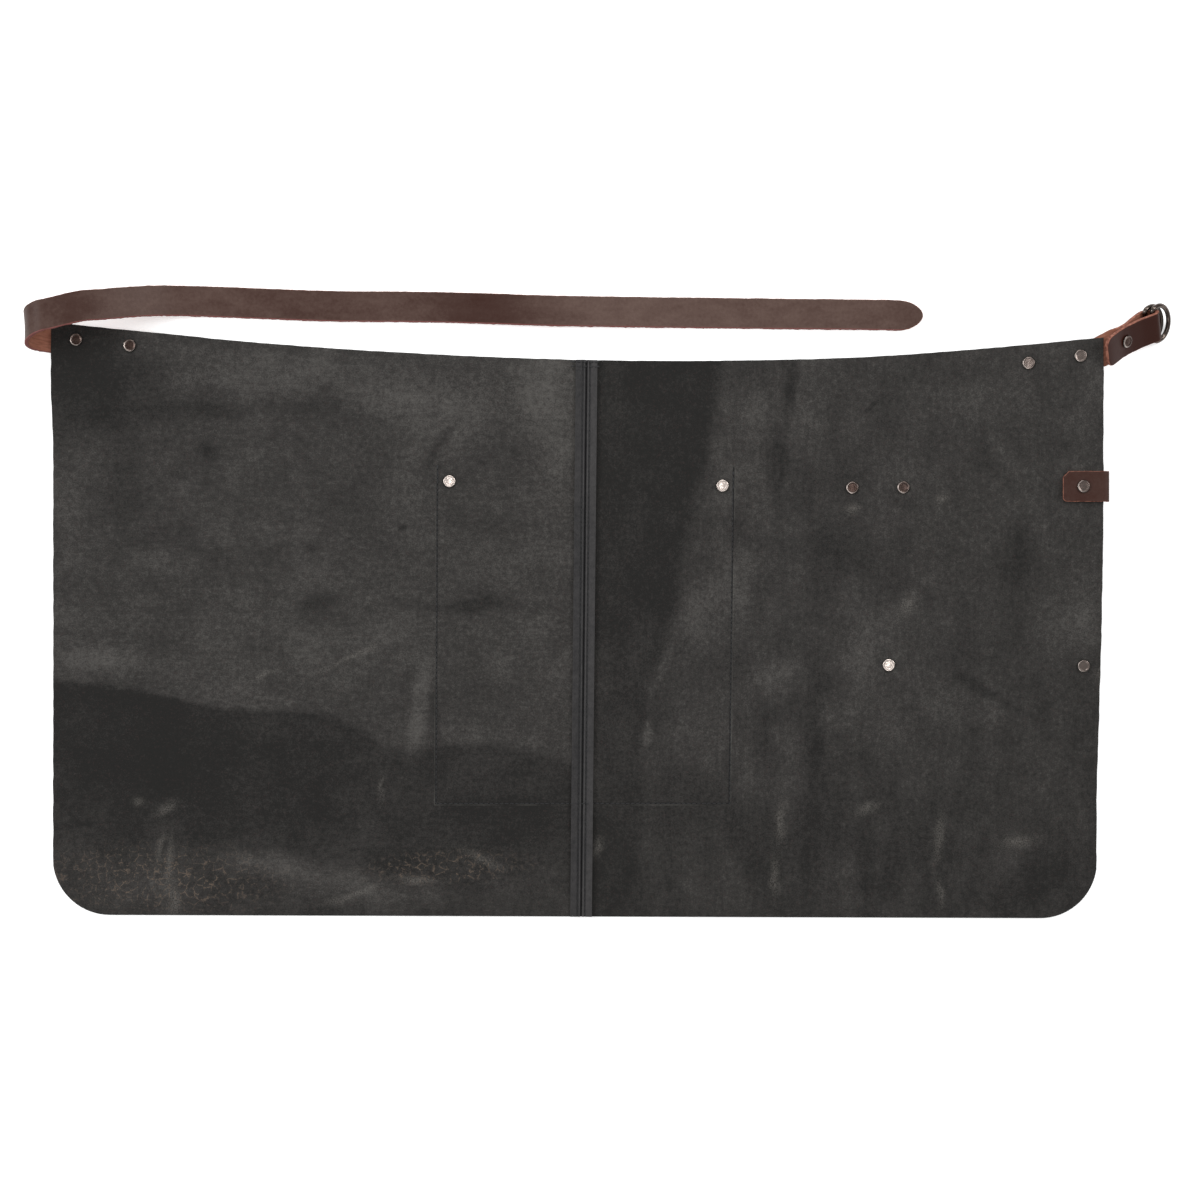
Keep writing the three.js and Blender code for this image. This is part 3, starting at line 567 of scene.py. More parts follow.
scuffs = [
    dict(x=-339, y=-220, long=15, wide=4.2, turn=94),
    dict(x=-343, y=-190, long=22, wide=2.6, turn=86),
    dict(x=-351, y=-176, long=12, wide=2.4, turn=80),
    dict(x=-346, y=-144, long=8, wide=4, turn=30),
    dict(x=-369, y=-138, long=4, wide=3, turn=0),
    dict(x=-139, y=-203, long=17, wide=2.4, turn=-2),
    dict(x=-82, y=-186, long=16, wide=3, turn=-24),
    dict(x=-193, y=-18, long=24, wide=1.8, turn=26),
    dict(x=-262, y=-33, long=12, wide=1.6, turn=20),
    dict(x=-166, y=-126, long=10, wide=1.6, turn=84),
    dict(x=-190, y=-215, long=22, wide=2, turn=16),
    dict(x=164, y=-155, long=14, wide=3.6, turn=82),
    dict(x=159, y=-200, long=16, wide=3.4, turn=92),
    dict(x=295, y=-168, long=18, wide=3.8, turn=84),
    dict(x=296, y=-213, long=9, wide=2.4, turn=98),
    dict(x=361, y=-172, long=12, wide=4.6, turn=8),
    dict(x=268, y=25, long=9, wide=5, turn=70),
    dict(x=12, y=-176, long=9, wide=3.2, turn=66),
    dict(x=236, y=-143, long=8, wide=4, turn=20),
    dict(x=222, y=106, long=5, wide=3, turn=0),
    dict(x=296, y=113, long=5, wide=3.4, turn=0),
    dict(x=427, y=-32, long=5, wide=5, turn=0),
]
crackled = [
    dict(x=-350, y=-202, long=92, wide=27, turn=-2),
    dict(x=-112, y=-192, long=62, wide=13, turn=2),
]


# %% Tone of a place
def mark_weight(mark, x, y, firmness):
    """1 in the middle of a mark, falling to 0 round it."""
    turn = np.radians(mark["turn"])
    off_x, off_y = x - mm(mark["x"]), y - mm(mark["y"])
    along = (off_x * np.cos(turn) + off_y * np.sin(turn)) / mm(mark["long"])
    across = (off_y * np.cos(turn) - off_x * np.sin(turn)) / mm(mark["wide"])
    return np.exp(-((along**2 + across**2) ** firmness))


BAND_X = mm(np.array([-440, -398, -370, -336, -298, -236, -208, -180, -163, -139, -118, -77, -35, 3]))
BAND_Y = mm(np.array([-38, -40, -46, -54, -61, -63, -67, -78, -94, -96, -91, -92, -98, -110]))
STRIPE_Y = mm(np.array([-235, -189, -137, -79, -23, 11, 46, 101, 146, 191, 230]))
STRIPE_X = mm(np.array([38, 46, 48, 50, 59, 69, 79, 88, 100, 107, 115]))


def band_tone(x, y):
    """The damp band: sharp along its upper line at the left, softer towards the seam."""
    below = np.interp(x, BAND_X, BAND_Y) - y
    softness = mm(mix(5, 12, ramp((x + mm(330)) / mm(150))))
    depth = mix(0.6, 0.42, ramp((x + mm(260)) / mm(120)))
    left_only = x < 0
    fade = 1 - 0.45 * ramp((below - mm(60)) / mm(70))
    return -depth * ramp(below / softness + 0.5) * fade * left_only


def stripe_tone(x, y):
    """The dark stripe that runs beside the seam on the right."""
    inside = np.interp(y, STRIPE_Y, STRIPE_X) - x
    depth = mix(0.24, 0.47, ramp((y + mm(150)) / mm(260)))
    return -depth * ramp(inside / mm(17) + 0.5) * (x > 0)


def tone_at(x, y):
    """How much lighter or darker the leather is than its usual grey, from about -1 to 1."""
    bent_x = x + mm(7) * wander(x, y, mm(34), 1.5) + mm(2.5) * wander(x, y, mm(9), 2.5)
    bent_y = y + mm(7) * wander(x, y, mm(34), 3.5) + mm(2.5) * wander(x, y, mm(9), 4.5)
    tone = sum(mark["tone"] * mark_weight(mark, bent_x, bent_y, 1.3) for mark in soft_marks)
    tone += band_tone(mix(x, bent_x, 0.4), mix(y, bent_y, 0.4)) + stripe_tone(bent_x, bent_y)
    tone += 0.14 * wander(x, y, mm(60), 5.5) + 0.12 * wander(x, y, mm(22), 6.5)
    brushed = wander(x, y * 0.25, mm(16), 7.5) * (x > 0) + wander(x * 0.25, y, mm(16), 8.5) * (x < 0)
    right_wear = -0.1 - 0.16 * ramp((-y - mm(90)) / mm(90))
    streaks = 0.12 + 0.12 * ramp((-y - mm(20)) / mm(80)) * (x > mm(60))
    return tone + streaks * brushed + right_wear * (x > 0)


def scuff_at(x, y):
    """1 where the surface is rubbed pale."""
    bent_x = x + mm(3) * wander(x, y, mm(8), 9.5)
    bent_y = y + mm(3) * wander(x, y, mm(8), 10.5)
    return np.max([mark_weight(mark, bent_x, bent_y, 1.0) for mark in scuffs], 0)


print(len(soft_marks), "soft marks and", len(scuffs), "scuffs")

# %% [markdown]
# ## Nodes in a few words
# Materials and Geometry Nodes trees are both built with one small helper. It adds a node, sets its
# options, and fills each socket with a value or with a link, so a tree reads like a recipe.


# %% Node helpers
def fill(tree, made, sockets):
    """Fills each named socket of a node with a value or with a link."""
    for socket, value in sockets.items():
        if isinstance(value, bpy.types.NodeSocket):
            tree.links.new(value, made.inputs[socket])
        else:
            made.inputs[socket].default_value = value


def node(tree, kind, sockets=None, **options):
    """Adds a node. sockets holds a value or a link for each socket that is filled."""
    made = tree.nodes.new(kind)
    for option, value in options.items():
        setattr(made, option, value)
    fill(tree, made, sockets or {})
    return made


def out(made, socket=0):
    return made.outputs[socket]


def maths(tree, operation, *values):
    return out(node(tree, "ShaderNodeMath", dict(enumerate(values)), operation=operation))


def blend_colour(tree, share, a, b):
    made = node(tree, "ShaderNodeMix", {0: share, 6: a, 7: b}, data_type="RGBA")
    return out(made, 2)


def cloud(tree, where, scale, detail, roughness=0.55):
    sockets = {"Vector": where, "Scale": scale, "Detail": detail, "Roughness": roughness}
    return out(node(tree, "ShaderNodeTexNoise", sockets))


def stretch(tree, where, scale):
    return out(node(tree, "ShaderNodeMapping", {"Vector": where, "Scale": scale}))


def attribute(tree, name, socket="Fac"):
    return node(tree, "ShaderNodeAttribute", attribute_name=name).outputs[socket]


def spread(tree, value, low, high):
    """Stretches a value between two levels over 0 to 1, and cuts off the rest."""
    sockets = {"Value": value, "From Min": low, "From Max": high}
    return out(node(tree, "ShaderNodeMapRange", sockets))


def bumps(tree, height, strength, distance, before=None):
    sockets = {"Height": height, "Strength": strength, "Distance": distance}
    if before is not None:
        sockets["Normal"] = before
    return out(node(tree, "ShaderNodeBump", sockets))


def set_shader(tree, sockets):
    """Fills sockets of the material's own Principled shader."""
    fill(tree, tree.nodes["Principled BSDF"], sockets)


def grey(red, green, blue):
    """A colour from 0 to 255 sRGB levels."""
    levels = np.array([red, green, blue]) / 255
    linear = np.where(levels < 0.04045, levels / 12.92, ((levels + 0.055) / 1.055) ** 2.4)
    return (*linear.tolist(), 1)


# %% [markdown]
# ## Black leather
# The flesh side is napped like suede: matt, with a fine mottle at the scale of its fibres and a broad
# cloudiness from dye and oil. The grain side is smoother, a little cooler, with small pebbles. One
# material holds both, and the attributes choose: `flesh` for the face, `smooth` for the folded
# allowance, `tone` for wear and for painted shade and highlight on creases, ridges and the seam's
# grooves, `scuff` and `crackle` for wear, and `cut` for the raw edge. A painted shade line and a
# painted highlight follow the pocket's stitching.


# %% Furrow
FURROW_CENTRE = mm(0.9)
FURROW_LEAN = 0.0095
FURROW_HALF_WIDTH = mm(122)
FURROW_FLARE = 0.0042
FURROW_BOTTOM = mm(-139.5)
FURROW_TOP = mm(139)
RIDGE_HIGHLIGHT_OFFSET = mm(1.2)


def furrow_shade_and_ridge_highlight(tree, where):
    """Painted shade along the pocket's stitch line in the leather, and a painted highlight beside it."""
    place = node(tree, "ShaderNodeSeparateXYZ", {0: where})
    centre = maths(tree, "MULTIPLY_ADD", out(place, 1), FURROW_LEAN, FURROW_CENTRE)
    half = maths(tree, "MULTIPLY_ADD", out(place, 1), FURROW_FLARE, FURROW_HALF_WIDTH)
    off = maths(tree, "ABSOLUTE", maths(tree, "SUBTRACT", out(place), centre))
    beside = maths(tree, "SUBTRACT", off, half)
    below = maths(tree, "SUBTRACT", FURROW_BOTTOM, out(place, 1))
    outside = maths(tree, "MAXIMUM", beside, below)
    distance = maths(tree, "ABSOLUTE", outside)
    line = maths(tree, "SUBTRACT", 1.0, spread(tree, distance, mm(0.3), mm(0.95)))
    beyond = maths(tree, "ABSOLUTE", maths(tree, "SUBTRACT", outside, RIDGE_HIGHLIGHT_OFFSET))
    ridge = maths(tree, "SUBTRACT", 1.0, spread(tree, beyond, mm(0.15), mm(0.6)))
    open_top = maths(tree, "LESS_THAN", out(place, 1), FURROW_TOP)
    faint = spread(tree, cloud(tree, where, 160, 2), 0.0, 0.5)
    shown = maths(tree, "MULTIPLY", open_top, faint)
    # Where the ridge's painted highlight shows, broken up by noise.
    painted_highlight_share = maths(tree, "MULTIPLY", shown, spread(tree, cloud(tree, where, 45, 2), 0.42, 0.72))
    return maths(tree, "MULTIPLY", line, shown), maths(tree, "MULTIPLY", ridge, painted_highlight_share)


# %% Black leather
def black_leather():
    material, tree = new_material("black_leather")
    where = out(node(tree, "ShaderNodeTexCoord"), "Object")
    side = maths(tree, "GREATER_THAN", out(node(tree, "ShaderNodeSeparateXYZ", {0: where})), 0.0)
    strokes_left = cloud(tree, stretch(tree, where, (60, 420, 60)), 1, 3)
    strokes_right = cloud(tree, stretch(tree, where, (420, 50, 60)), 1, 3)
    strokes = out(node(tree, "ShaderNodeMix", {0: side, 2: strokes_left, 3: strokes_right}))
    clouds = cloud(tree, where, 30, 6, 0.62)
    mottle = cloud(tree, where, 240, 4, 0.75)
    fibres = cloud(tree, where, 1000, 3, 0.7)
    level = maths(tree, "MULTIPLY_ADD", attribute(tree, "tone"), 0.78, 0.49)
    for pattern, strength in ((clouds, 0.5), (mottle, 1.0), (fibres, 1.2), (strokes, 0.3)):
        lowered = maths(tree, "SUBTRACT", level, strength / 2)
        level = maths(tree, "MULTIPLY_ADD", pattern, strength, lowered)
    ramp_node = node(tree, "ShaderNodeValToRGB", {0: level})
    steps = ramp_node.color_ramp.elements
    steps[0].position, steps[0].color = 0.0, grey(17, 16, 14)
    steps[1].position, steps[1].color = 1.0, grey(75, 73, 70)
    middle = steps.new(0.5)
    middle.color = grey(45, 43, 41)
    warmth = spread(tree, cloud(tree, where, 620, 3, 0.7), 0.57, 0.7)
    warm = maths(tree, "MULTIPLY", warmth, 0.36)
    napped = blend_colour(tree, warm, out(ramp_node), grey(60, 44, 42))
    rub = maths(tree, "MULTIPLY", attribute(tree, "scuff"), spread(tree, fibres, 0.36, 0.7))
    napped = blend_colour(tree, maths(tree, "MULTIPLY", rub, 0.52), napped, grey(116, 112, 106))
    bent = node(tree, "ShaderNodeVectorMath", {0: where, 1: mottle}, operation="ADD")
    warped = node(tree, "ShaderNodeMix", {0: 0.004, 4: where, 5: out(bent)}, data_type="VECTOR")
    sockets = {"Vector": out(warped, 1), "Scale": 150}
    cracks = node(tree, "ShaderNodeTexVoronoi", sockets, feature="DISTANCE_TO_EDGE")
    crack = maths(tree, "SUBTRACT", 1.0, spread(tree, out(cracks), 0.0, 0.07))
    crack = maths(tree, "MULTIPLY", crack, spread(tree, mottle, 0.46, 0.6))
    crack = maths(tree, "MULTIPLY", crack, attribute(tree, "crackle"))
    napped = blend_colour(tree, maths(tree, "MULTIPLY", crack, 0.75), napped, grey(106, 90, 76))
    # Painted shade along the pocket's stitch line, and a painted highlight on the ridge beside it.
    furrow_shade, ridge = furrow_shade_and_ridge_highlight(tree, where)
    napped = blend_colour(tree, furrow_shade, napped, grey(12, 11, 11))
    napped = blend_colour(tree, maths(tree, "MULTIPLY", ridge, 0.36), napped, grey(92, 91, 86))
    pebbles = node(tree, "ShaderNodeTexVoronoi", {"Vector": where, "Scale": 620})
    even_mottle = spread(tree, mottle, 0.15, 0.85)
    smooth_tone = maths(tree, "MULTIPLY_ADD", attribute(tree, "tone"), 0.5, even_mottle)
    smooth_face = blend_colour(tree, smooth_tone, grey(22, 21, 22), grey(58, 56, 56))
    back = maths(tree, "SUBTRACT", 1.0, attribute(tree, "flesh"))
    is_smooth = maths(tree, "MAXIMUM", attribute(tree, "smooth"), spread(tree, back, 0.4, 0.9))
    colour = blend_colour(tree, is_smooth, napped, smooth_face)
    edge = maths(tree, "MULTIPLY", attribute(tree, "cut"), 0.7)
    colour = blend_colour(tree, edge, colour, grey(28, 26, 25))
    roughness = maths(tree, "MULTIPLY_ADD", is_smooth, -0.3, 0.86)
    nap = bumps(tree, fibres, 0.6, mm(0.4))
    grain = bumps(tree, out(pebbles), 0.35, mm(0.2), bumps(tree, mottle, 0.4, mm(0.7), nap))
    set_shader(tree, {"Base Color": colour, "Roughness": roughness, "Normal": grain})
    set_shader(tree, {"Specular IOR Level": 0.3, "Sheen Weight": 0.04, "Sheen Roughness": 0.6})
    return material


BLACK_LEATHER = black_leather()
print("black leather:", len(BLACK_LEATHER.node_tree.nodes), "nodes")

# %% [markdown]
# ## The two panels
# Each panel is a grid of points from its outer edge to the seam. At the seam the leather turns up and
# folds back on itself for 9 mm, so the same grid goes on round the fold: its outer face is then the
# grain side, which is why the folded strips look smoother and cooler than the rest. A shallow groove
# along each strip is where the topstitching pulls it down. The raw edge of the right strip curls up a
# little and throws a thin shadow.

# %% Fold of the seam allowance
# out and rise are the outer face's distance from the seam and its height above the panel's underside,
# in_out and in_rise those of the inner face, all in millimetres. tone is painted shade in the joint and
# in the stitch grooves, and a painted highlight on the ridges and the raw edge. From TURN_ROW on, the
# strip may curl.
fold_profile = [
    dict(out=2.6, rise=0, in_out=2.9, in_rise=2.0, tone=-1.2),
    dict(out=1.2, rise=0, in_out=2.3, in_rise=2.02, tone=-1.2),
    dict(out=0.45, rise=0.1, in_out=2.0, in_rise=2.05, tone=-1.2),
    dict(out=0.12, rise=0.5, in_out=1.85, in_rise=2.07, tone=-1.2),
    dict(out=-0.04, rise=1.2, in_out=1.8, in_rise=2.1, tone=-1.2),
    dict(out=0.15, rise=2.0, in_out=1.85, in_rise=2.14, tone=-1.2),
    dict(out=0.45, rise=2.8, in_out=1.95, in_rise=2.18, tone=-1.1),
    dict(out=0.85, rise=3.4, in_out=2.1, in_rise=2.22, tone=-0.5),
    dict(out=1.3, rise=3.75, in_out=2.25, in_rise=2.26, tone=0.5),
    dict(out=1.75, rise=3.8, in_out=2.4, in_rise=2.3, tone=0.7),
    dict(out=2.15, rise=3.6, in_out=2.55, in_rise=2.32, tone=0.1),
    dict(out=2.55, rise=3.1, in_out=2.75, in_rise=2.33, tone=-1.1),
    dict(out=2.95, rise=2.92, in_out=2.98, in_rise=2.35, tone=-1.3),
    dict(out=3.35, rise=3.15, in_out=3.35, in_rise=2.35, tone=-0.9),
    dict(out=3.8, rise=3.6, in_out=3.8, in_rise=2.35, tone=-0.2),
    dict(out=4.5, rise=3.82, in_out=4.5, in_rise=2.35, tone=0),
    dict(out=5.8, rise=3.85, in_out=5.8, in_rise=2.35, tone=0),
    dict(out=7.2, rise=3.85, in_out=7.2, in_rise=2.35, tone=0),
    dict(out=8.3, rise=3.85, in_out=8.3, in_rise=2.35, tone=0),
    dict(out=8.75, rise=3.85, in_out=8.75, in_rise=2.35, tone=0.25),
]
TURN_ROW = 5


# %% Panels
PANEL_STEP = mm(2.6)
PANEL_BULGE = mm(0.3)
EDGE_WAVER = mm(0.4)
EDGE_WAVER_SHARE = 0.02
CURL_START = mm(4.4)
EDGE_CURL = {"left": mm(0.25), "right": mm(1.0)}
STRIP_TONE = {"left": -0.45, "right": -0.02}


def even_steps(start, end, step):
    return np.linspace(start, end, int(round((end - start) / step)) + 1)


def panel_rows(height):
    """Shares of the height, closer together at both ends, where the edge is rounded."""
    plain = even_steps(mm(1.2) / height, 1 - mm(1.2) / height, PANEL_STEP / height)
    return np.r_[0, mm(0.4) / height, plain, 1 - mm(0.4) / height, 1]


def relief(x, y):
    """Small lumps of the hide, never below the panel's own underside."""
    lumps = 0.14 * wander(x, y, mm(26), 11.5) + 0.09 * wander(x, y, mm(9), 12.5)
    return mm(np.clip(0.12 + lumps, 0, 0.34))


def panel(side):
    """One panel with its folded allowance, and the area that it was cut to."""
    sign = -1 if side == "left" else 1
    width = LEFT_WIDTH if side == "left" else RIGHT_WIDTH
    arc = HEM_CORNER_RADIUS * (1 - np.cos(np.radians(np.arange(0, 90, 5))))
    insets = np.r_[arc, even_steps(HEM_CORNER_RADIUS, width - mm(12), PANEL_STEP)]
    insets = np.r_[insets, width - mm(9), width - mm(6.5), width - mm(4.6)]
    share = panel_rows(RIGHT_CORNER_Y + HEM_DEPTH)[:, None]
    seam_x = seam_line(share) + sign * SEAM_GAP / 2
    flat_x = mix(sign * (width - PANEL_BULGE), seam_x, insets[None, :] / width)
    waver = wander(0 * flat_x + sign, share + 0 * flat_x, EDGE_WAVER_SHARE, 16.5)
    flat_x = flat_x + EDGE_WAVER * waver * np.exp(-insets / mm(5))
    fold = {key: mm(np.array([row[key] for row in fold_profile])) for key in fold_profile[0]}
    # The fold profile's tone column: painted shade in the joint and in the stitch grooves, and a painted
    # highlight on the ridges and the strip's raw edge.
    fold_shade_and_highlight = np.r_[np.zeros(len(insets)), [row["tone"] for row in fold_profile]]
    outer_x = np.concatenate([flat_x, seam_x + sign * fold["out"][None, :]], 1)
    inner_x = np.concatenate([flat_x, seam_x + sign * fold["in_out"][None, :]], 1)
    free = np.r_[np.zeros(TURN_ROW), ramp((fold["out"][TURN_ROW:] - CURL_START) / CURL_START)]
    curl = np.r_[np.zeros(len(insets)), EDGE_CURL[side] * free][None, :]
    outer_rise = np.r_[np.zeros(len(insets)), fold["rise"]][None, :] + curl
    inner_rise = np.r_[np.full(len(insets), PANEL_LEATHER), fold["in_rise"]][None, :] + curl

    def laid_grid(x, rise):
        ragged = mm(0.25) * wander(x, 0 * x + share, mm(7), 13.5)
        y = mix(top_line(x) - PANEL_BULGE + ragged * (share < 0.5), hem_line(x) + PANEL_BULGE, share)
        return np.stack([x, y, under(x, y) + relief(x, y) + rise], 2)

    grain, flesh = laid_grid(outer_x, outer_rise), laid_grid(inner_x, inner_rise)
    x, y = grain[..., 0], grain[..., 1]
    folded = np.r_[np.zeros(len(insets)), np.ones(len(fold_profile))]
    # The strips' own tone, plus the fold's painted shade and highlight, plus noise.
    strip_tone_shade_and_highlight = STRIP_TONE[side] + fold_shade_and_highlight[None, :] + 0.3 * wander(x, y, mm(30), 15.5)
    marks = {
        "tone": mix(tone_at(x, y), strip_tone_shade_and_highlight, folded[None, :]),
        "scuff": scuff_at(x, y) * (1 - folded[None, :]),
        "crackle": np.max([mark_weight(mark, x, y, 2.0) for mark in crackled], 0),
        "smooth": np.broadcast_to(folded, x.shape).copy(),
    }
    made = closed_sheet(f"leather_{side}", flesh, grain, PANEL_BULGE, marks)
    made.data.materials.append(BLACK_LEATHER)
    plan_x = np.linspace(0, sign * width, 400)
    cut_area = float(np.mean(top_line(plan_x) - hem_line(plan_x))) * width
    return made, cut_area


left_leather, left_area = panel("left")
right_leather, right_area = panel("right")

# %% [markdown]
# ## The pocket
# The pocket is sewn on the front, which lies against the table, so it is the lowest piece. Its top
# corners have a rivet each, whose caps lift it slightly. It is a plain patch of the same leather, with
# its grain side out.


# %% Pocket
POCKET_STEP = mm(3)
POCKET_CORNER = mm(8)


def pocket():
    bulge = PANEL_BULGE
    down = even_steps(0, 1, POCKET_STEP / POCKET_HEIGHT)[:, None]
    across = even_steps(-1, 1, 2 * POCKET_STEP / POCKET_WIDTH)[None, :]
    y = mix(POCKET_HEIGHT / 2 - bulge, -POCKET_HEIGHT / 2 + bulge, down)
    into = np.maximum(POCKET_CORNER - (y + POCKET_HEIGHT / 2), 0)
    x = (POCKET_WIDTH / 2 - bulge - into) * across
    y = y + 0 * across
    low = pocket_under(x, y)
    grain = np.stack([x, y, low], 2)
    flesh = np.stack([x, y, low + PANEL_LEATHER], 2)
    marks = {"tone": 0.2 * wander(x, y, mm(40), 14.5), "scuff": 0 * x, "smooth": 0 * x}
    made = closed_sheet("pocket_leather", flesh, grain, bulge, marks)
    made.data.materials.append(BLACK_LEATHER)
    return made


pocket_leather = pocket()

# %% [markdown]
# ## Brown strap leather
# The straps are vegetable-tanned leather, dyed dark brown on the grain side only. The cut edges and
# the flesh side keep the pinkish tan of the raw hide, which shows along every edge. Each strap has a
# tone along its length. On the long strap, its lighter and darker stretches, round the bend too, are
# partly the finish's own unevenness and partly painted sheen. Each strap carries an attribute `lay`
# with its own length and width at every point, so the streaks follow the strap round its bends.


# %% Brown leather
def brown_leather():
    material, tree = new_material("brown_leather")
    lay = attribute(tree, "lay", "Vector")
    where = out(node(tree, "ShaderNodeTexCoord"), "Object")
    clouds = cloud(tree, stretch(tree, lay, (38, 80, 1)), 1, 5, 0.6)
    mottle = cloud(tree, where, 380, 3, 0.65)
    pores = node(tree, "ShaderNodeTexVoronoi", {"Vector": where, "Scale": 900})
    level = maths(tree, "MULTIPLY_ADD", attribute(tree, "tone"), 0.8, 0.42)
    for pattern, strength in ((clouds, 0.6), (mottle, 0.4)):
        lowered = maths(tree, "SUBTRACT", level, strength / 2)
        level = maths(tree, "MULTIPLY_ADD", pattern, strength, lowered)
    ramp_node = node(tree, "ShaderNodeValToRGB", {0: level})
    steps = ramp_node.color_ramp.elements
    steps[0].position, steps[0].color = 0.0, grey(46, 17, 8)
    steps[1].position, steps[1].color = 1.0, grey(96, 78, 71)
    middle = steps.new(0.45)
    middle.color = grey(63, 43, 37)
    strands = cloud(tree, stretch(tree, lay, (120, 700, 1)), 1, 3)
    tan = blend_colour(tree, spread(tree, strands, 0.3, 0.7), grey(120, 76, 60), grey(150, 102, 84))
    raw = blend_colour(tree, spread(tree, mottle, 0.35, 0.65), grey(92, 52, 44), grey(158, 106, 88))
    flesh = attribute(tree, "flesh")
    colour = blend_colour(tree, spread(tree, flesh, 0.5, 0.95), out(ramp_node), tan)
    colour = blend_colour(tree, attribute(tree, "cut"), colour, raw)
    colour = blend_colour(tree, attribute(tree, "fringe"), colour, grey(112, 68, 64))
    rough_side = maths(tree, "MAXIMUM", spread(tree, flesh, 0.4, 0.9), attribute(tree, "cut"))
    grain_roughness = maths(tree, "MULTIPLY_ADD", clouds, 0.2, 0.38)
    roughness = maths(tree, "MULTIPLY_ADD", rough_side, 0.35, grain_roughness)
    relief_normal = bumps(tree, out(pores), 0.25, mm(0.12), bumps(tree, mottle, 0.3, mm(0.25)))
    set_shader(tree, {"Base Color": colour, "Roughness": roughness, "Normal": relief_normal})
    set_shader(tree, {"Specular IOR Level": 0.16})
    return material


BROWN_LEATHER = brown_leather()
print("brown leather:", len(BROWN_LEATHER.node_tree.nodes), "nodes")

# %% [markdown]
# ## Straps from stations
# A strap is flat leather along a path. A station is a place on the path with its direction across the
# strap and how far the leather reaches each way. The direction along comes from the neighbouring
# stations, and the flesh side faces along crossed with across. More columns stand near the two edges,
# so the rounded edges stay crisp. A fringe is the fuzz of a roughly cut far edge, a little redder.

# %% Strap helper
STRAP_BULGE = mm(0.55)
STRAP_COLUMNS = np.array([0, 0.015, 0.05, 0.14, 0.28, 0.42, 0.58, 0.72, 0.86, 0.94, 0.97, 0.988, 1])


def station(centre, across, near=HALF_STRAP, far=HALF_STRAP):
    return dict(centre=centre, across=across, near=near, far=far)


def fuzz(along, seed):
    """How far a rough cut edge stands out of line."""
    fine = mm(0.16) * wander(along, 0 * along, mm(1.7), seed)
    return fine + mm(0.2) * wander(along, 0 * along, mm(6), seed)


def strap(name, stations, tone, fringe=0):
    """A closed strap along its stations. fringe is how far fibres stand out of its far edge."""
    centre = np.array([s["centre"][:] for s in stations])
    across = np.array([s["across"][:] for s in stations])
    along = unit(np.gradient(centre, axis=0))
    outward = unit(np.cross(along, across))
    side = unit(np.cross(outward, along))
    travelled = np.r_[0, np.cumsum(np.linalg.norm(np.diff(centre, axis=0), axis=1))]
    near = np.array([s["near"] for s in stations]) - STRAP_BULGE + fuzz(travelled, 20.5)
    far = np.array([s["far"] for s in stations]) - STRAP_BULGE + fuzz(travelled, 21.5)
    fibres = fringe * (0.6 + 0.7 * wander(travelled, 0 * travelled, mm(2.2), 22.5))
    far = far + fibres * (far > HALF_STRAP * 0.8)
    reach = mix(-near[:, None], far[:, None], STRAP_COLUMNS[None, :])
    middle = centre[:, None] + side[:, None] * reach[..., None]
    half = outward[:, None] * STRAP_LEATHER / 2 + 0 * middle
    lay = np.stack([travelled[:, None] + 0 * reach, reach, 0 * reach], 2)
    far_edge = ramp((reach - HALF_STRAP + mm(0.8)) / mm(0.4)) * (fringe > 0)
    tones = tone(travelled / travelled[-1])[:, None] + 0 * reach
    marks = {"tone": tones, "lay": lay, "fringe": far_edge}
    made = closed_sheet(name, middle + half, middle - half, STRAP_BULGE, marks)
    made.data.materials.append(BROWN_LEATHER)
    print(name, "is", round(travelled[-1] * 1000), "mm long")
    return made


def laid(x, y, across):
    """A station against the panels' underside."""
    slope = under(x + across.x * HALF_STRAP, y + across.y * HALF_STRAP)
    slope = (slope - under(x - across.x * HALF_STRAP, y - across.y * HALF_STRAP)) / STRAP_WIDTH
    centre = Vector((x, y, under(x, y) - GAP - STRAP_LEATHER / 2))
    return station(centre, Vector((across.x, across.y, slope)).normalized())


def end_stations(place, across, near_radius, far_radius):
    """Rounds off a strap's end. place gives the path at a distance short of the end."""
    longest = max(near_radius, far_radius)
    made = []
    for share in (1, 0.75, 0.5, 0.3, 0.15, 0.06, 0):
        left = longest * share
        cut = [r - np.sqrt(r**2 - max(r - left, 0) ** 2) for r in (near_radius, far_radius)]
        made.append(station(place(left), across, HALF_STRAP - cut[0], HALF_STRAP - cut[1]))
    return made


# %% [markdown]
# ## The long tie strap
# It starts under the top left corner with its flesh side up against the apron, turns over in an open
# bend just past the edge, and then lies along the table with its grain side up, to a rounded tip.
# The free run is a smooth curve through a few chosen places.

# %% Free run
# along is a share of the free length, aside is in strap widths from the end of the bend, and height is
# a share of the bend's height
BEND_RADIUS = mm(17)
BEND_TWIST = np.radians(8)
BEND_SLIP = 0.48
BEND_SLIP_START = 0.25 * np.pi
FREE_LENGTH = mm(721.5)
TIP_LENGTH = mm(22)
FRINGE = mm(0.55)
free_run = [
    dict(along=0.042, aside=0.286, height=0.95),
    dict(along=0.063, aside=0.358, height=0.83),
    dict(along=0.089, aside=0.462, height=0.61),
    dict(along=0.114, aside=0.551, height=0.37),
    dict(along=0.14, aside=0.589, height=0.16),
    dict(along=0.166, aside=0.59, height=0.05),
    dict(along=0.221, aside=0.54, height=0),
    dict(along=0.32, aside=0.43, height=0.035),
    dict(along=0.42, aside=0.41, height=0),
    dict(along=0.497, aside=0.35, height=0.06),
    dict(along=0.56, aside=0.28, height=0.09),
    dict(along=0.65, aside=0.24, height=0.04),
    dict(along=0.75, aside=0.21, height=0),
    dict(along=0.87, aside=0.17, height=0.01),
    dict(along=0.94, aside=0.15, height=0),
    dict(along=1, aside=0.11, height=0),
]


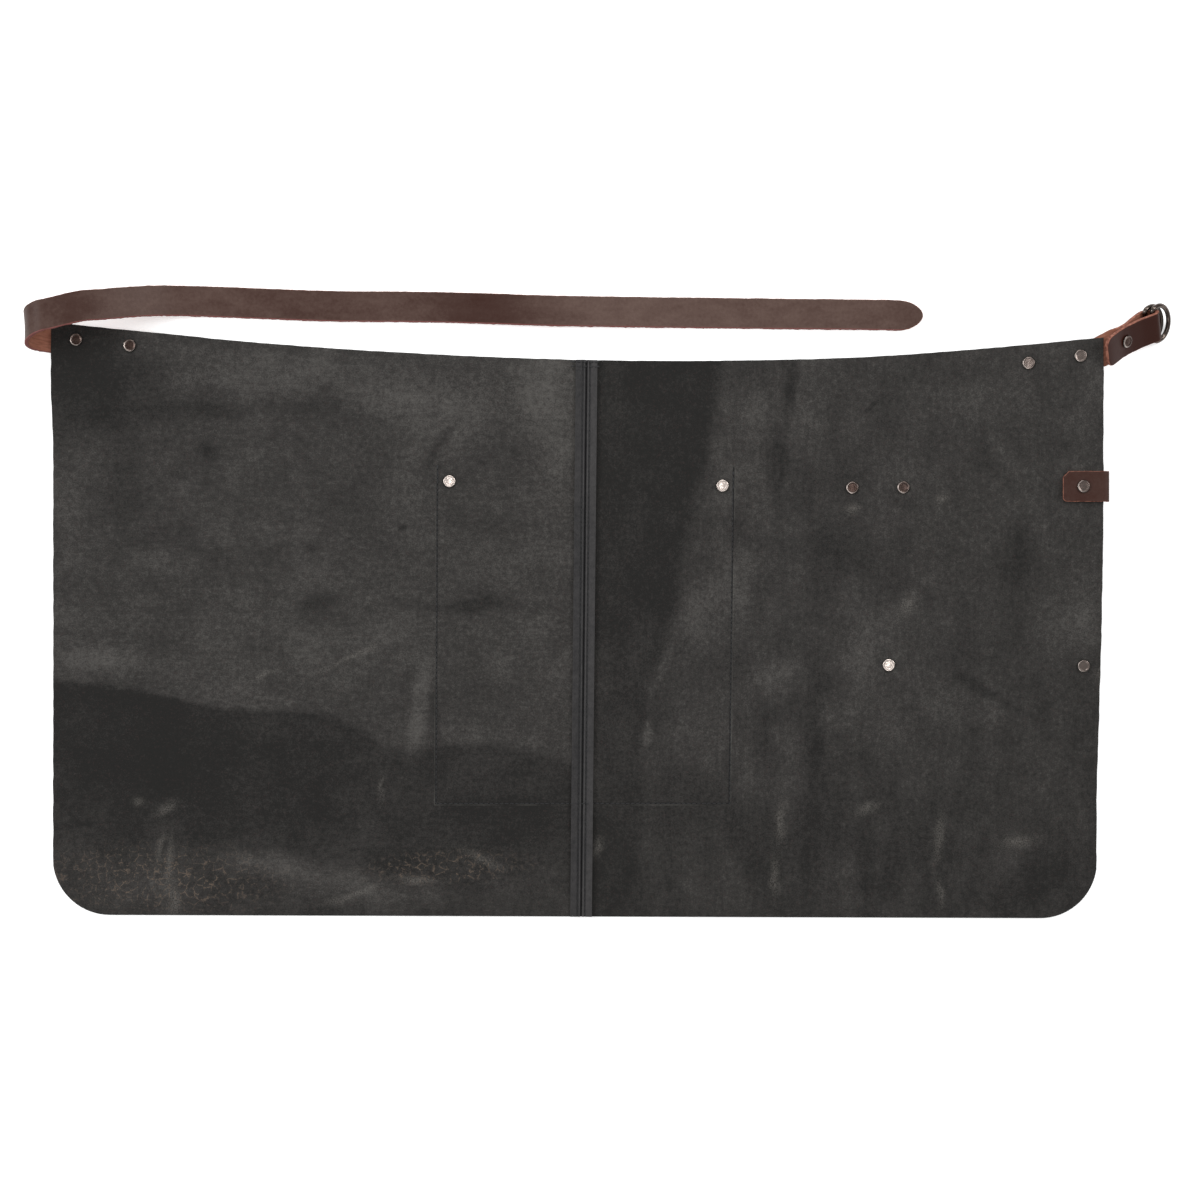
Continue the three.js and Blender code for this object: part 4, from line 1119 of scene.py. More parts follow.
def smooth_route(points, steps=24):
    """A curve through the points, with knots spaced by the root of their distance."""
    points = [2 * points[0] - points[1], *points, 2 * points[-1] - points[-2]]
    route = []
    for p0, p1, p2, p3 in zip(points, points[1:], points[2:], points[3:]):
        d0, d1, d2 = (np.sqrt((b - a).length) for a, b in ((p0, p1), (p1, p2), (p2, p3)))
        leave = ((p1 - p0) / d0 - (p2 - p0) / (d0 + d1) + (p2 - p1) / d1) * d1
        arrive = ((p2 - p1) / d1 - (p3 - p1) / (d1 + d2) + (p3 - p2) / d2) * d1
        for t in (np.arange(steps) / steps).tolist():
            square = t * t * (p2 * 3 - p1 * 3 - leave * 2 - arrive)
            route.append(p1 + leave * t + square + t**3 * (p1 * 2 - p2 * 2 + leave + arrive))
    return np.array([p[:] for p in [*route, points[-2]]])


def at_distances(route, distances):
    """Places at distances along a route, and its whole length."""
    travelled = np.r_[0, np.cumsum(np.linalg.norm(np.diff(route, axis=0), axis=1))]
    return np.stack([np.interp(distances, travelled, route[:, k]) for k in range(3)], 1), travelled[-1]


# %% Long strap
STATION_STEP = mm(1.4)
SETTLE_PARTS = 13
# The long strap's tone along its length, by share of it: partly the finish's own unevenness, partly
# painted sheen.
strap_tone_and_sheen = [
    dict(share=0, tone=0.1),
    dict(share=0.15, tone=0.2),
    dict(share=0.18, tone=-0.05),
    dict(share=0.23, tone=0.4),
    dict(share=0.3, tone=0.28),
    dict(share=0.4, tone=0.12),
    dict(share=0.48, tone=0.24),
    dict(share=0.52, tone=0.2),
    dict(share=0.57, tone=-0.2),
    dict(share=0.62, tone=0.1),
    dict(share=0.66, tone=0.38),
    dict(share=0.72, tone=0.52),
    dict(share=0.8, tone=0.4),
    dict(share=0.9, tone=0.42),
    dict(share=1, tone=0.2),
]


def long_strap():
    stations = []
    level_across = STRAP_LINE.cross(UP)
    for share in np.linspace(1, 0, 28):
        place = STRAP_EDGE + STRAP_LINE * STRAP_END * share
        stations.append(laid(place.x, place.y, level_across))
    start = stations[-1]["centre"]
    outward = Quaternion(UP, BEND_TWIST) @ -STRAP_LINE
    axis = outward.cross(UP)

    def bend_across(angle):
        round_way = outward * np.cos(angle) + UP * np.sin(angle)
        return round_way * np.sin(BEND_TWIST) - axis * np.cos(BEND_TWIST)

    for angle in np.linspace(0, np.pi, 33)[1:]:
        centre = start + outward * (BEND_RADIUS * np.sin(angle))
        centre = centre + UP * (BEND_RADIUS * (1 - np.cos(angle)))
        slipped = BEND_SLIP * float(ramp((angle - BEND_SLIP_START) / (np.pi - BEND_SLIP_START)))
        centre = centre + axis * (BEND_RADIUS * (np.tan(BEND_TWIST) * angle + slipped))
        stations.append(station(centre, bend_across(angle)))
    bend_end = stations[-1]["centre"]
    resting = STRAP_LEATHER / 2
    places = [bend_end]
    for row in free_run:
        height = resting + row["height"] * (bend_end.z - resting)
        x, y = bend_end.x + row["along"] * FREE_LENGTH, bend_end.y + row["aside"] * STRAP_WIDTH
        places.append(Vector((x, y, height)))
    route = smooth_route(places)
    length = at_distances(route, [0])[1]
    run = even_steps(0, length - TIP_LENGTH, STATION_STEP)[1:]
    tip_angles = np.radians([84, 76, 68, 59, 50, 40, 30, 20, 12, 6])
    distances = np.r_[run, length - TIP_LENGTH * (1 - np.cos(tip_angles))]
    halves = np.r_[np.full(len(run), HALF_STRAP), HALF_STRAP * np.sin(tip_angles)]
    level = Vector((0, -1, 0))
    for place, distance, half in zip(at_distances(route, distances)[0], distances, halves):
        settled = float(ramp(distance / (length / SETTLE_PARTS)))
        across = bend_across(np.pi).lerp(level, settled).normalized()
        centre = Vector((place[0], place[1], max(place[2], resting)))
        stations.append(station(centre, across, half, half))
    shares = [row["share"] for row in strap_tone_and_sheen]
    tones = [row["tone"] for row in strap_tone_and_sheen]
    return strap("tie_strap", stations, lambda share: np.interp(share, shares, tones), FRINGE)


tie_strap = long_strap()

# %% [markdown]
# ## The ring tab
# A short strap, riveted under the top right corner, runs out past the edge, goes round the straight
# bars of both D-rings and comes back over itself, where one rivet holds the fold. Its lower layer
# shows its flesh side and the flap its dark grain side.


# %% Ring tab
def raised(point):
    """A point of the tab at its full height."""
    return point + UP * TAB_HEIGHT


def ring_tab():
    inner = TAB_RIVET_INSET + TAB_RIVET_SPACING + STRAP_END_MARGIN
    outer = FOLD_START + TAB_STRAIGHT
    stations = []
    for distance in np.linspace(-inner, 0, 30)[:-1]:
        place = walk_tab(TAB_EDGE, distance)
        stations.append(laid(place.x, place.y, tab_frame(distance)[1]))
    for distance in np.linspace(0, outer, 20):
        place = walk_tab(TAB_EDGE, distance) if distance > 0 else TAB_EDGE
        stations.append(station(raised(place), tab_frame(distance)[1]))
    lower_layer = -(RING_DROP + LAYER_STEP) / 2
    upper_layer = lower_layer + LAYER_STEP
    flat_end = -FOLD_LENGTH + CAP_RADIUS + GAP
    slope = np.arctan2(RING_DROP, RING_SETBACK)
    corners = [
        Vector((flat_end, lower_layer, 0)),
        Vector((-RING_SETBACK - mm(7), -RING_DROP * 0.82 - WRAP_RADIUS, 0)),
        Vector((-RING_SETBACK, -RING_DROP - WRAP_RADIUS, 0)),
        Vector((-RING_SETBACK + WRAP_RADIUS * np.sin(slope), -RING_DROP - WRAP_RADIUS * np.cos(slope), 0)),
    ]
    for angle in np.linspace(slope - np.pi / 2, np.pi / 2, 16):
        corners.append(Vector((WRAP_RADIUS * np.cos(angle), WRAP_RADIUS * np.sin(angle), 0)))
    corners += [Vector((flat_end / 2, upper_layer + mm(1.6), 0)), Vector((flat_end, upper_layer, 0))]
    for along, layer, _ in smooth_route(corners, 5):
        stations.append(station(in_fold(along, layer), fold_across))
    flap_end = -FOLD_LENGTH - FLAP_OVERHANG

    def flap(left):
        """The flap's middle at a distance short of its end, which stands up a little."""
        raise_end = FLAP_RAISE * float(ramp(1 - left / FLAP_OVERHANG))
        return in_fold(flap_end + left, upper_layer + raise_end)

    for left in np.linspace(flat_end - flap_end, FLAP_FAR_CORNER, 12)[1:-1]:
        stations.append(station(flap(left), fold_across))
    stations += end_stations(flap, fold_across, FLAP_CORNER, FLAP_FAR_CORNER)
    return strap("ring_tab_leather", stations, lambda share: -0.75 - 0.1 * share)


ring_tab_leather = ring_tab()

# %% [markdown]
# ## The loop straps on the front
# Two straps lie between the front and the table. The lower one ends short of the edge. The upper one
# wraps round the right edge and comes back over it as a small brown tab with one clipped corner, the
# only part of it that shows from behind.

# %% Loop straps
EDGE_TAB_LENGTH = mm(33)
EDGE_TAB_CHAMFER = mm(4.6)
UPPER_RIVET_SPACING = mm(42)
UPPER_EDGE_RIVET_INSET = mm(17)
LOWER_EDGE_RIVET_INSET = mm(14)
# how much is cut off both edges at a distance left to the tab's end, as shares of the clipped corner
clipped_end = [
    dict(left=1, near=0, far=0),
    dict(left=0.66, near=0, far=0.34),
    dict(left=0.4, near=0.03, far=0.6),
    dict(left=0.2, near=0.14, far=0.8),
    dict(left=0.06, near=0.32, far=0.94),
    dict(left=0, near=0.44, far=1),
]
ACROSS = Vector((0, 1, 0))


def front_run(length, y, short):
    start, end = RIGHT_WIDTH - length - STRAP_END_MARGIN, RIGHT_WIDTH - short
    return [laid(x, y, ACROSS) for x in even_steps(start, end, mm(3))]


def upper_loop():
    stations = front_run(UPPER_LOOP_LENGTH, UPPER_LOOP_Y, 0)
    face = under(RIGHT_WIDTH, UPPER_LOOP_Y)
    middle = Vector((RIGHT_WIDTH + GAP, UPPER_LOOP_Y, face + PANEL_LEATHER / 2))
    radius = PANEL_LEATHER / 2 + GAP + STRAP_LEATHER / 2
    for angle in np.linspace(-np.pi / 2, np.pi / 2, 17):
        turned = Vector((radius * np.cos(angle), 0, radius * np.sin(angle)))
        stations.append(station(middle + turned, ACROSS))

    def back(x):
        height = under(x, UPPER_LOOP_Y) + PANEL_LEATHER + GAP + STRAP_LEATHER / 2
        return Vector((x, UPPER_LOOP_Y, height))

    end = RIGHT_WIDTH - EDGE_TAB_LENGTH
    for x in np.linspace(middle.x, end + EDGE_TAB_CHAMFER, 14)[1:-1]:
        stations.append(station(back(x), ACROSS))
    for cut in clipped_end:
        place = back(end + EDGE_TAB_CHAMFER * cut["left"])
        cuts = [HALF_STRAP - EDGE_TAB_CHAMFER * cut[edge] for edge in ("near", "far")]
        stations.append(station(place, ACROSS, *cuts))
    return strap("upper_loop_leather", stations, lambda share: mix(0.0, -0.16, share))


upper_loop_leather = upper_loop()
lower_run = front_run(LOWER_LOOP_LENGTH, LOWER_LOOP_Y, LOWER_EDGE_RIVET_INSET - STRAP_END_MARGIN)
lower_loop_leather = strap("lower_loop_leather", lower_run, lambda share: 0.05 * share)

# %% [markdown]
# ## Geometry Nodes, once
# A tree gets named inputs for its sizes. `grown` puts it on a helper object as a modifier, sets the
# inputs by their socket identifiers, takes the evaluated result as a plain mesh and removes the
# helper. Every tree ends in Realize Instances and Set Material, because instances aren't exported.


# %% Tree helpers
def new_tree(name, inputs):
    """inputs is a list of name and socket type. Returns the tree and its input node."""
    tree = bpy.data.node_groups.new(name, "GeometryNodeTree")
    tree.interface.new_socket("Geometry", in_out="INPUT", socket_type="NodeSocketGeometry")
    tree.interface.new_socket("Geometry", in_out="OUTPUT", socket_type="NodeSocketGeometry")
    for label, kind in inputs:
        tree.interface.new_socket(label, in_out="INPUT", socket_type=kind)
    return tree, tree.nodes.new("NodeGroupInput")


def end_tree(tree, given, geometry):
    """Realizes, smooths and coats the geometry, and hands it out."""
    real = node(tree, "GeometryNodeRealizeInstances", {"Geometry": geometry})
    smooth = node(tree, "GeometryNodeSetShadeSmooth", {"Geometry": out(real)})
    sockets = {"Geometry": out(smooth), "Material": given.outputs["Material"]}
    coated = node(tree, "GeometryNodeSetMaterial", sockets)
    node(tree, "NodeGroupOutput", {"Geometry": out(coated)})


def grown(name, helper, tree, values):
    modifier = helper.modifiers.new(name, "NODES")
    modifier.node_group = tree
    for item in tree.interface.items_tree:
        if item.in_out == "INPUT" and item.name in values:
            modifier[item.identifier] = values[item.name]
    evaluated = helper.evaluated_get(bpy.context.evaluated_depsgraph_get())
    mesh = bpy.data.meshes.new_from_object(evaluated)
    mesh.name = name
    bpy.data.objects.remove(helper)
    print(name, len(mesh.polygons), "faces")
    return new_object(name, mesh)


def float_attribute(mesh, name, values):
    made = mesh.attributes.new(name, "FLOAT", "POINT")
    made.data.foreach_set("value", np.asarray(values, np.float32))


# %% [markdown]
# ## Dark nickel
# The caps and rings are plated dark. The caps' rims carry a painted highlight, brightest on one side.
# Their outer sides are darkened by painted shade along with their darker plating, and their flat faces
# are dull and faintly brown. Each cap differs a little. One attribute says where the rims' painted
# highlight is, `side` where the painted shade and dark plating are, and `tint` how bright the plating
# is.


# %% Metal
def dark_nickel(name, dull, bright, roughness):
    material, tree = new_material(name)
    where = out(node(tree, "ShaderNodeTexCoord"), "Object")
    spots = cloud(tree, where, 700, 3, 0.6)
    tarnish = spread(tree, spots, 0.36, 0.66)
    # This attribute is the painted highlight on the caps' rims, brightest towards one side.
    rim_highlight = attribute(tree, "rim_highlight")
    plated = blend_colour(tree, maths(tree, "MAXIMUM", attribute(tree, "tint"), rim_highlight), dull, bright)
    stain = maths(tree, "MULTIPLY", tarnish, maths(tree, "MULTIPLY_ADD", rim_highlight, -0.3, 0.4))
    stained = blend_colour(tree, stain, plated, grey(96, 78, 68))
    # side darkens the caps' outer sides: painted shade together with darker plating.
    side = maths(tree, "MULTIPLY", attribute(tree, "side"), 0.8)
    colour = blend_colour(tree, side, stained, grey(20, 17, 16))
    rough = maths(tree, "MULTIPLY_ADD", tarnish, 0.16, roughness)
    dents = bumps(tree, cloud(tree, where, 420, 2), 0.05, mm(0.1))
    set_shader(tree, {"Base Color": colour, "Roughness": rough, "Normal": dents, "Metallic": 1.0})
    return material


RIVET_METAL = dark_nickel("rivet_metal", grey(62, 50, 47), grey(226, 214, 206), 0.2)
RING_METAL = dark_nickel("ring_metal", grey(74, 68, 64), grey(128, 122, 117), 0.07)

# %% [markdown]
# ## Rivets
# A rivet is a post with two pressed caps. All twelve are alike, so one tree makes them from twelve
# points: each point carries the direction of its axis and how far its two leather faces are. The cap
# is a lathed form of unit size, a flat face with a raised rounded rim, scaled by two named inputs.

# %% Cap form
CAP_SIDES = 32
# The strength of the rims' painted highlight, and the side where it is brightest.
RIM_HIGHLIGHT = 0.65
RIM_HIGHLIGHT_SIDE = np.radians(205)
cap_profile = [
    dict(radius=0.0, height=0.92),
    dict(radius=0.14, height=0.915),
    dict(radius=0.3, height=0.895),
    dict(radius=0.46, height=0.865),
    dict(radius=0.6, height=0.835),
    dict(radius=0.68, height=0.86),
    dict(radius=0.76, height=0.97),
    dict(radius=0.83, height=1.0),
    dict(radius=0.9, height=0.96),
    dict(radius=0.96, height=0.84),
    dict(radius=0.99, height=0.66),
    dict(radius=1.0, height=0.42),
    dict(radius=0.985, height=0.16),
    dict(radius=0.94, height=0.0),
]


def lathed(name, profile, sides):
    """A closed form round the Z axis, with a pole at the top and another at the foot."""
    turn = 2 * np.pi * np.arange(sides) / sides
    points = [(0, 0, profile[0]["height"])]
    for row in profile[1:]:
        points += [(row["radius"] * np.cos(t), row["radius"] * np.sin(t), row["height"]) for t in turn]
    points.append((0, 0, profile[-1]["height"]))
    rings = [1 + np.arange(sides) + k * sides for k in range(len(profile) - 1)]
    faces = [(0, a, b) for a, b in zip(rings[0], np.roll(rings[0], -1))]
    for ring, lower in zip(rings, rings[1:]):
        faces += list(zip(ring, lower, np.roll(lower, -1), np.roll(ring, -1)))
    foot = len(points) - 1
    faces += [(foot, b, a) for a, b in zip(rings[-1], np.roll(rings[-1], -1))]
    mesh = bpy.data.meshes.new(name)
    mesh.from_pydata(points, [], [tuple(int(i) for i in face) for face in faces])
    return new_object(name, mesh)


# %% Rivet places
rivet_tints = {
    "rivet_strap_edge": 0.0,
    "rivet_strap_inner": 0.0,
    "rivet_tab_edge": 0.2,
    "rivet_tab_inner": 0.17,
    "rivet_pocket_left": 0.95,
    "rivet_pocket_right": 0.9,
    "rivet_upper_inner": 0.0,
    "rivet_upper_middle": 0.02,
    "rivet_upper_edge": 0.14,
    "rivet_lower_inner": 1.0,
    "rivet_lower_edge": 0.2,
    "rivet_ring_fold": 0.0,
}
CAP_SINK = mm(0.25)
# the photograph shows the pocket's two rivets about 3 mm away from their solids
POCKET_RIVET_LEFT = Vector((mm(-110.6), mm(127.3), 0))
POCKET_RIVET_RIGHT = Vector((mm(115.5), mm(123.6), 0))


def strap_rivet_place(distance):
    """A place on the tie strap, a distance in from the apron's edge."""
    return STRAP_EDGE + STRAP_LINE * distance


upper_inner_x = RIGHT_WIDTH - UPPER_LOOP_LENGTH
panel_rivets = {
    "rivet_strap_edge": strap_rivet_place(STRAP_RIVET_INSET),
    "rivet_strap_inner": strap_rivet_place(STRAP_RIVET_INSET + STRAP_RIVET_SPACING),
    "rivet_tab_edge": walk_tab(TAB_EDGE, -TAB_RIVET_INSET),
    "rivet_tab_inner": walk_tab(TAB_EDGE, -TAB_RIVET_INSET - TAB_RIVET_SPACING),
    "rivet_pocket_left": POCKET_RIVET_LEFT,
    "rivet_pocket_right": POCKET_RIVET_RIGHT,
    "rivet_upper_inner": Vector((upper_inner_x, UPPER_LOOP_Y, 0)),
    "rivet_upper_middle": Vector((upper_inner_x + UPPER_RIVET_SPACING, UPPER_LOOP_Y, 0)),
    "rivet_upper_edge": Vector((RIGHT_WIDTH - UPPER_EDGE_RIVET_INSET, UPPER_LOOP_Y, 0)),
    "rivet_lower_inner": Vector((RIGHT_WIDTH - LOWER_LOOP_LENGTH, LOWER_LOOP_Y, 0)),
    "rivet_lower_edge": Vector((RIGHT_WIDTH - LOWER_EDGE_RIVET_INSET, LOWER_LOOP_Y, 0)),
}


def rivet_rows():
    """Centre, axis, low and high of each rivet."""
    rows = []
    for name, place in panel_rivets.items():
        x, y = place.x, place.y
        face = float(under(x, y))
        low = float(pocket_under(x, y)) if name.startswith("rivet_pocket") else face - LAYER_STEP
        high = face + PANEL_LEATHER + GAP + (LAYER_STEP if name == "rivet_upper_edge" else 0)
        axis = panel_normal(x, y)
        centre = Vector((x, y, (low + high) / 2))
        rows.append((centre, axis, (low - high) / 2 * axis.z, (high - low) / 2 * axis.z))
    reach = LAYER_STEP / 2 + STRAP_LEATHER / 2 + GAP
    centre = raised(fold_rivet_foot) + fold_out * LAYER_STEP / 2
    rows.append((centre, fold_out, -reach, reach))
    return rows


# %% Rivet tree
def rivet_tree():
    sizes = ["Cap radius", "Cap height", "Cap sink", "Shank radius"]
    inputs = [(label, "NodeSocketFloat") for label in sizes]
    inputs += [("Cap form", "NodeSocketObject"), ("Material", "NodeSocketMaterial")]
    tree, given = new_tree("rivets", inputs)
    size = given.outputs

    def stored(name, kind="FLOAT"):
        return out(node(tree, "GeometryNodeInputNamedAttribute", {"Name": name}, data_type=kind))

    axis = stored("axis", "FLOAT_VECTOR")
    form = out(node(tree, "GeometryNodeObjectInfo", {"Object": size["Cap form"]}), "Geometry")
    cap_sockets = {0: size["Cap radius"], 1: size["Cap radius"], 2: size["Cap height"]}
    cap_scale = out(node(tree, "ShaderNodeCombineXYZ", cap_sockets))

    def capped(reach, way):
        outward = node(tree, "ShaderNodeVectorMath", {0: axis, "Scale": way}, operation="SCALE")
        depth = maths(tree, "SUBTRACT", maths(tree, "ABSOLUTE", reach), size["Cap sink"])
        offset = node(tree, "ShaderNodeVectorMath", {0: out(outward), "Scale": depth}, operation="SCALE")
        sockets = {"Geometry": size["Geometry"], "Offset": out(offset)}
        points = node(tree, "GeometryNodeSetPosition", sockets)
        turn = node(tree, "FunctionNodeAlignRotationToVector", {"Vector": out(outward)}, axis="Z")
        sockets = {"Points": out(points), "Instance": form, "Rotation": out(turn), "Scale": cap_scale}
        return out(node(tree, "GeometryNodeInstanceOnPoints", sockets))

    high, low = stored("high"), stored("low")
    sockets = {"Vertices": 12, "Radius": size["Shank radius"], "Depth": 1.0}
    post = node(tree, "GeometryNodeMeshCylinder", sockets)
    post_length = maths(tree, "SUBTRACT", high, low)
    post_scale = node(tree, "ShaderNodeCombineXYZ", {0: 1.0, 1: 1.0, 2: post_length})
    post_turn = node(tree, "FunctionNodeAlignRotationToVector", {"Vector": axis}, axis="Z")
    sockets = {"Points": size["Geometry"], "Instance": out(post), "Rotation": out(post_turn)}
    posts = node(tree, "GeometryNodeInstanceOnPoints", {**sockets, "Scale": out(post_scale)})
    joined = node(tree, "GeometryNodeJoinGeometry")
    for part in (capped(high, 1.0), capped(low, -1.0), out(posts)):
        tree.links.new(part, joined.inputs[0])
    end_tree(tree, given, out(joined))
    return tree


rows = rivet_rows()
rivet_points = bpy.data.meshes.new("rivet_points")
rivet_points.from_pydata([row[0][:] for row in rows], [], [])
axis_values = rivet_points.attributes.new("axis", "FLOAT_VECTOR", "POINT")
axis_values.data.foreach_set("vector", np.array([row[1][:] for row in rows], np.float32).ravel())
float_attribute(rivet_points, "low", [row[2] for row in rows])
float_attribute(rivet_points, "high", [row[3] for row in rows])
float_attribute(rivet_points, "tint", list(rivet_tints.values()))
cap_form = lathed("cap_form", cap_profile, CAP_SIDES)
cap_reach = np.array([np.hypot(vertex.co.x, vertex.co.y) for vertex in cap_form.data.vertices])
cap_turn = np.array([np.arctan2(vertex.co.y, vertex.co.x) for vertex in cap_form.data.vertices])
# The rims' painted highlight fades away from one side, and the outer side gets painted shade together with
# dark plating.
painted_highlight_share = 0.2 + 0.8 * ramp(0.35 + 0.65 * np.cos(cap_turn - RIM_HIGHLIGHT_SIDE))
float_attribute(cap_form.data, "rim_highlight", RIM_HIGHLIGHT * painted_highlight_share * ramp((cap_reach - 0.72) / 0.1))
float_attribute(cap_form.data, "side", ramp((cap_reach - 0.88) / 0.08))
rivet_sizes = {
    "Cap radius": CAP_RADIUS,
    "Cap height": CAP_HEIGHT,
    "Cap sink": CAP_SINK,
    "Shank radius": SHANK_RADIUS,
    "Cap form": cap_form,
    "Material": RIVET_METAL,
}
rivets = grown("rivets", new_object("rivet_points", rivet_points), rivet_tree(), rivet_sizes)
bpy.data.objects.remove(cap_form)

# %% [markdown]
# ## D-rings
# A D-ring is one bent wire: a straight bar, two short legs and a bow. Its centre line is a closed
# path, and a Curve to Mesh node sweeps a circle along it. Each ring rides on its own body, because it
# swings about its bar.

# %% Ring outline
RING_INNER_WIDTH = mm(26.4)
RING_LEG = mm(6)
RING_ARC = mm(12)
RING_CORNER = mm(3.5)
RING_TINT = 0.1
RING_HALF = RING_INNER_WIDTH / 2 + WIRE_RADIUS


def ring_outline():
    """Distances along the tab and across it, once round."""
    bend = np.radians(np.arange(0, 91, 15))
    corner = np.stack([RING_CORNER * (1 - np.cos(bend)), RING_HALF - RING_CORNER * (1 - np.sin(bend))], 1)
    bow = np.radians(np.arange(0, 181, 5))
    arc = np.stack([RING_LEG + RING_ARC * np.sin(bow), RING_HALF * np.cos(bow)], 1)
    mirrored = corner[::-1] * np.array([1, -1])
    return np.concatenate([corner, arc, mirrored])


def wire_tree():
    inputs = [("Wire radius", "NodeSocketFloat"), ("Sides", "NodeSocketInt")]
    inputs += [("Material", "NodeSocketMaterial")]
    tree, given = new_tree("bent_wire", inputs)
    size = given.outputs
    path = node(tree, "GeometryNodeMeshToCurve", {"Mesh": size["Geometry"]})
    sockets = {"Resolution": size["Sides"], "Radius": size["Wire radius"]}
    section = node(tree, "GeometryNodeCurvePrimitiveCircle", sockets)
    swept = node(tree, "GeometryNodeCurveToMesh", {"Curve": out(path), "Profile Curve": out(section)})
    end_tree(tree, given, out(swept))
    return tree


def d_ring(name, bar_along, bar_out, tree):
    points = []
    for along, across in ring_outline():
        points.append((in_fold(bar_along + along, bar_out) + fold_across * across)[:])
    path = bpy.data.meshes.new(name)
    edges = [(i, (i + 1) % len(points)) for i in range(len(points))]
    path.from_pydata(points, edges, [])
    float_attribute(path, "tint", np.full(len(points), RING_TINT))
    values = {"Wire radius": WIRE_RADIUS, "Sides": 20, "Material": RING_METAL}
    return grown(name, new_object(name + "_path", path), tree, values)


wire = wire_tree()
outer_ring = d_ring("ring_outer_wire", 0, 0, wire)
inner_ring = d_ring("ring_inner_wire", -RING_SETBACK, -RING_DROP, wire)

# %% [markdown]
# ## Stitches
# Black thread shows as small dashes: two rows of topstitching on the folded allowances, and one row
# that follows the pocket. Short backtacks close them off at the top. A tree walks along each row, sets
# a stitch on every step, turns it a little with a seeded random angle, and realizes them. The long rows
# show on the front too, because each stitch goes through.

# %% Stitch tree
STITCH_PITCH = mm(4.2)
STITCH_LENGTH = mm(4.1)
STITCH_HEIGHT = mm(0.6)
STITCH_SEED = 7


def stitch_tree():
    inputs = [(label, "NodeSocketFloat") for label in ("Pitch", "Length", "Width", "Height")]
    inputs += [("Seed", "NodeSocketInt"), ("Material", "NodeSocketMaterial")]
    tree, given = new_tree("stitches", inputs)
    size = given.outputs
    path = node(tree, "GeometryNodeMeshToCurve", {"Mesh": size["Geometry"]})
    sockets = {"Curve": out(path), "Length": size["Pitch"]}
    steps = node(tree, "GeometryNodeCurveToPoints", sockets, mode="LENGTH")
    sockets = {"Vector": steps.outputs["Tangent"]}
    turn = node(tree, "FunctionNodeAlignRotationToVector", sockets, axis="X")
    sockets = {2: -0.09, 3: 0.09, "Seed": size["Seed"]}
    sway = node(tree, "FunctionNodeRandomValue", sockets, data_type="FLOAT")
    yaw = node(tree, "FunctionNodeAxisAngleToRotation", {"Axis": (0, 0, 1), "Angle": out(sway, 1)})
    turned = node(tree, "FunctionNodeRotateRotation", {"Rotation": out(turn), "Rotate By": out(yaw)})
    sockets = {2: 0.82, 3: 1.08, "Seed": size["Seed"]}
    vary = node(tree, "FunctionNodeRandomValue", sockets, data_type="FLOAT")
    halves = [maths(tree, "MULTIPLY", size[label], 0.5) for label in ("Length", "Width", "Height")]
    halves[0] = maths(tree, "MULTIPLY", halves[0], out(vary, 1))
    scale = node(tree, "ShaderNodeCombineXYZ", dict(enumerate(halves)))
    bead = node(tree, "GeometryNodeMeshUVSphere", {"Segments": 8, "Rings": 6, "Radius": 1.0})
    sockets = {"Points": steps.outputs["Points"], "Instance": out(bead), "Rotation": out(turned)}
    sewn = node(tree, "GeometryNodeInstanceOnPoints", {**sockets, "Scale": out(scale)})
    end_tree(tree, given, out(sewn))
    return tree


# %% Stitch rows
SEAM_ROW_OFFSET = mm(2.95)
SEAM_GROOVE_HEIGHT = mm(3.05)
STITCH_SINK = mm(0.05)
POCKET_ROW = [(-120.5, 139), (-121.7, -139.5), (121.6, -139.5), (124.1, 134)]
BACKTACK = mm(11)
BACKTACK_DROPS = (mm(1.8), mm(5.6))
BACKTACK_RISE = mm(4.2)


def dense(points, step):
    """Adds points between the corners of a row."""
    route = []
    for a, b in zip(points, points[1:]):
        count = max(int(np.ceil(np.hypot(b[0] - a[0], b[1] - a[1]) / step)), 1)
        route += [(mix(a[0], b[0], k / count), mix(a[1], b[1], k / count)) for k in range(count)]
    return np.array([*route, points[-1]])


def seam_rows():
    """Both topstitch rows, on the back and on the front."""
    share = np.linspace(0.005, 0.995, 120)
    rows = []
    for sign in (-1, 1):
        x = seam_line(share) + sign * SEAM_ROW_OFFSET
        y = mix(top_line(x), hem_line(x), share)
        face = under(x, y)
        rows.append(np.stack([x, y, face + SEAM_GROOVE_HEIGHT + relief(x, y)], 1))
        rows.append(np.stack([x, y, face + relief(x, y) + STITCH_SINK], 1))
    return rows


def backtack_rows():
    """Two short rows across both strips at the top."""
    rows = []
    for drop in BACKTACK_DROPS:
        x = np.linspace(-mm(11.5), ALLOWANCE_WIDTH - mm(0.3), 11) + SEAM_TOP_OFFSET
        y = top_line(x) - drop
        curled = EDGE_CURL["right"] * ramp((x - SEAM_TOP_OFFSET - CURL_START) / CURL_START)
        raised_by = BACKTACK_RISE + relief(x, y) + curled
        rows.append(np.stack([x, y, under(x, y) + raised_by], 1))
    return rows


def pocket_rows():
    """The pocket's row on both sides of the leather, and a backtack at each top corner."""
    corners = [(mm(x), mm(y)) for x, y in POCKET_ROW]
    line = dense(corners, mm(4))
    x, y = line[:, 0], line[:, 1]
    over_fold = np.abs(x - seam_line(0.96)) < ALLOWANCE_WIDTH
    top = under(x, y) + relief(x, y) + PANEL_LEATHER + over_fold * (ALLOWANCE_LEATHER + GAP)
    rows = [np.stack([x, y, top + STITCH_SINK], 1)]
    rows.append(np.stack([x, y, pocket_under(x, y) + mm(0.2)], 1))
    for end_x, end_y in (corners[0], corners[-1]):
        tack_y = np.linspace(end_y, end_y - BACKTACK, 5)
        tack_x = np.full(5, end_x + mm(0.5))
        height = under(tack_x, tack_y) + relief(tack_x, tack_y) + PANEL_LEATHER + STITCH_SINK
        rows.append(np.stack([tack_x, tack_y, height], 1))
    return rows


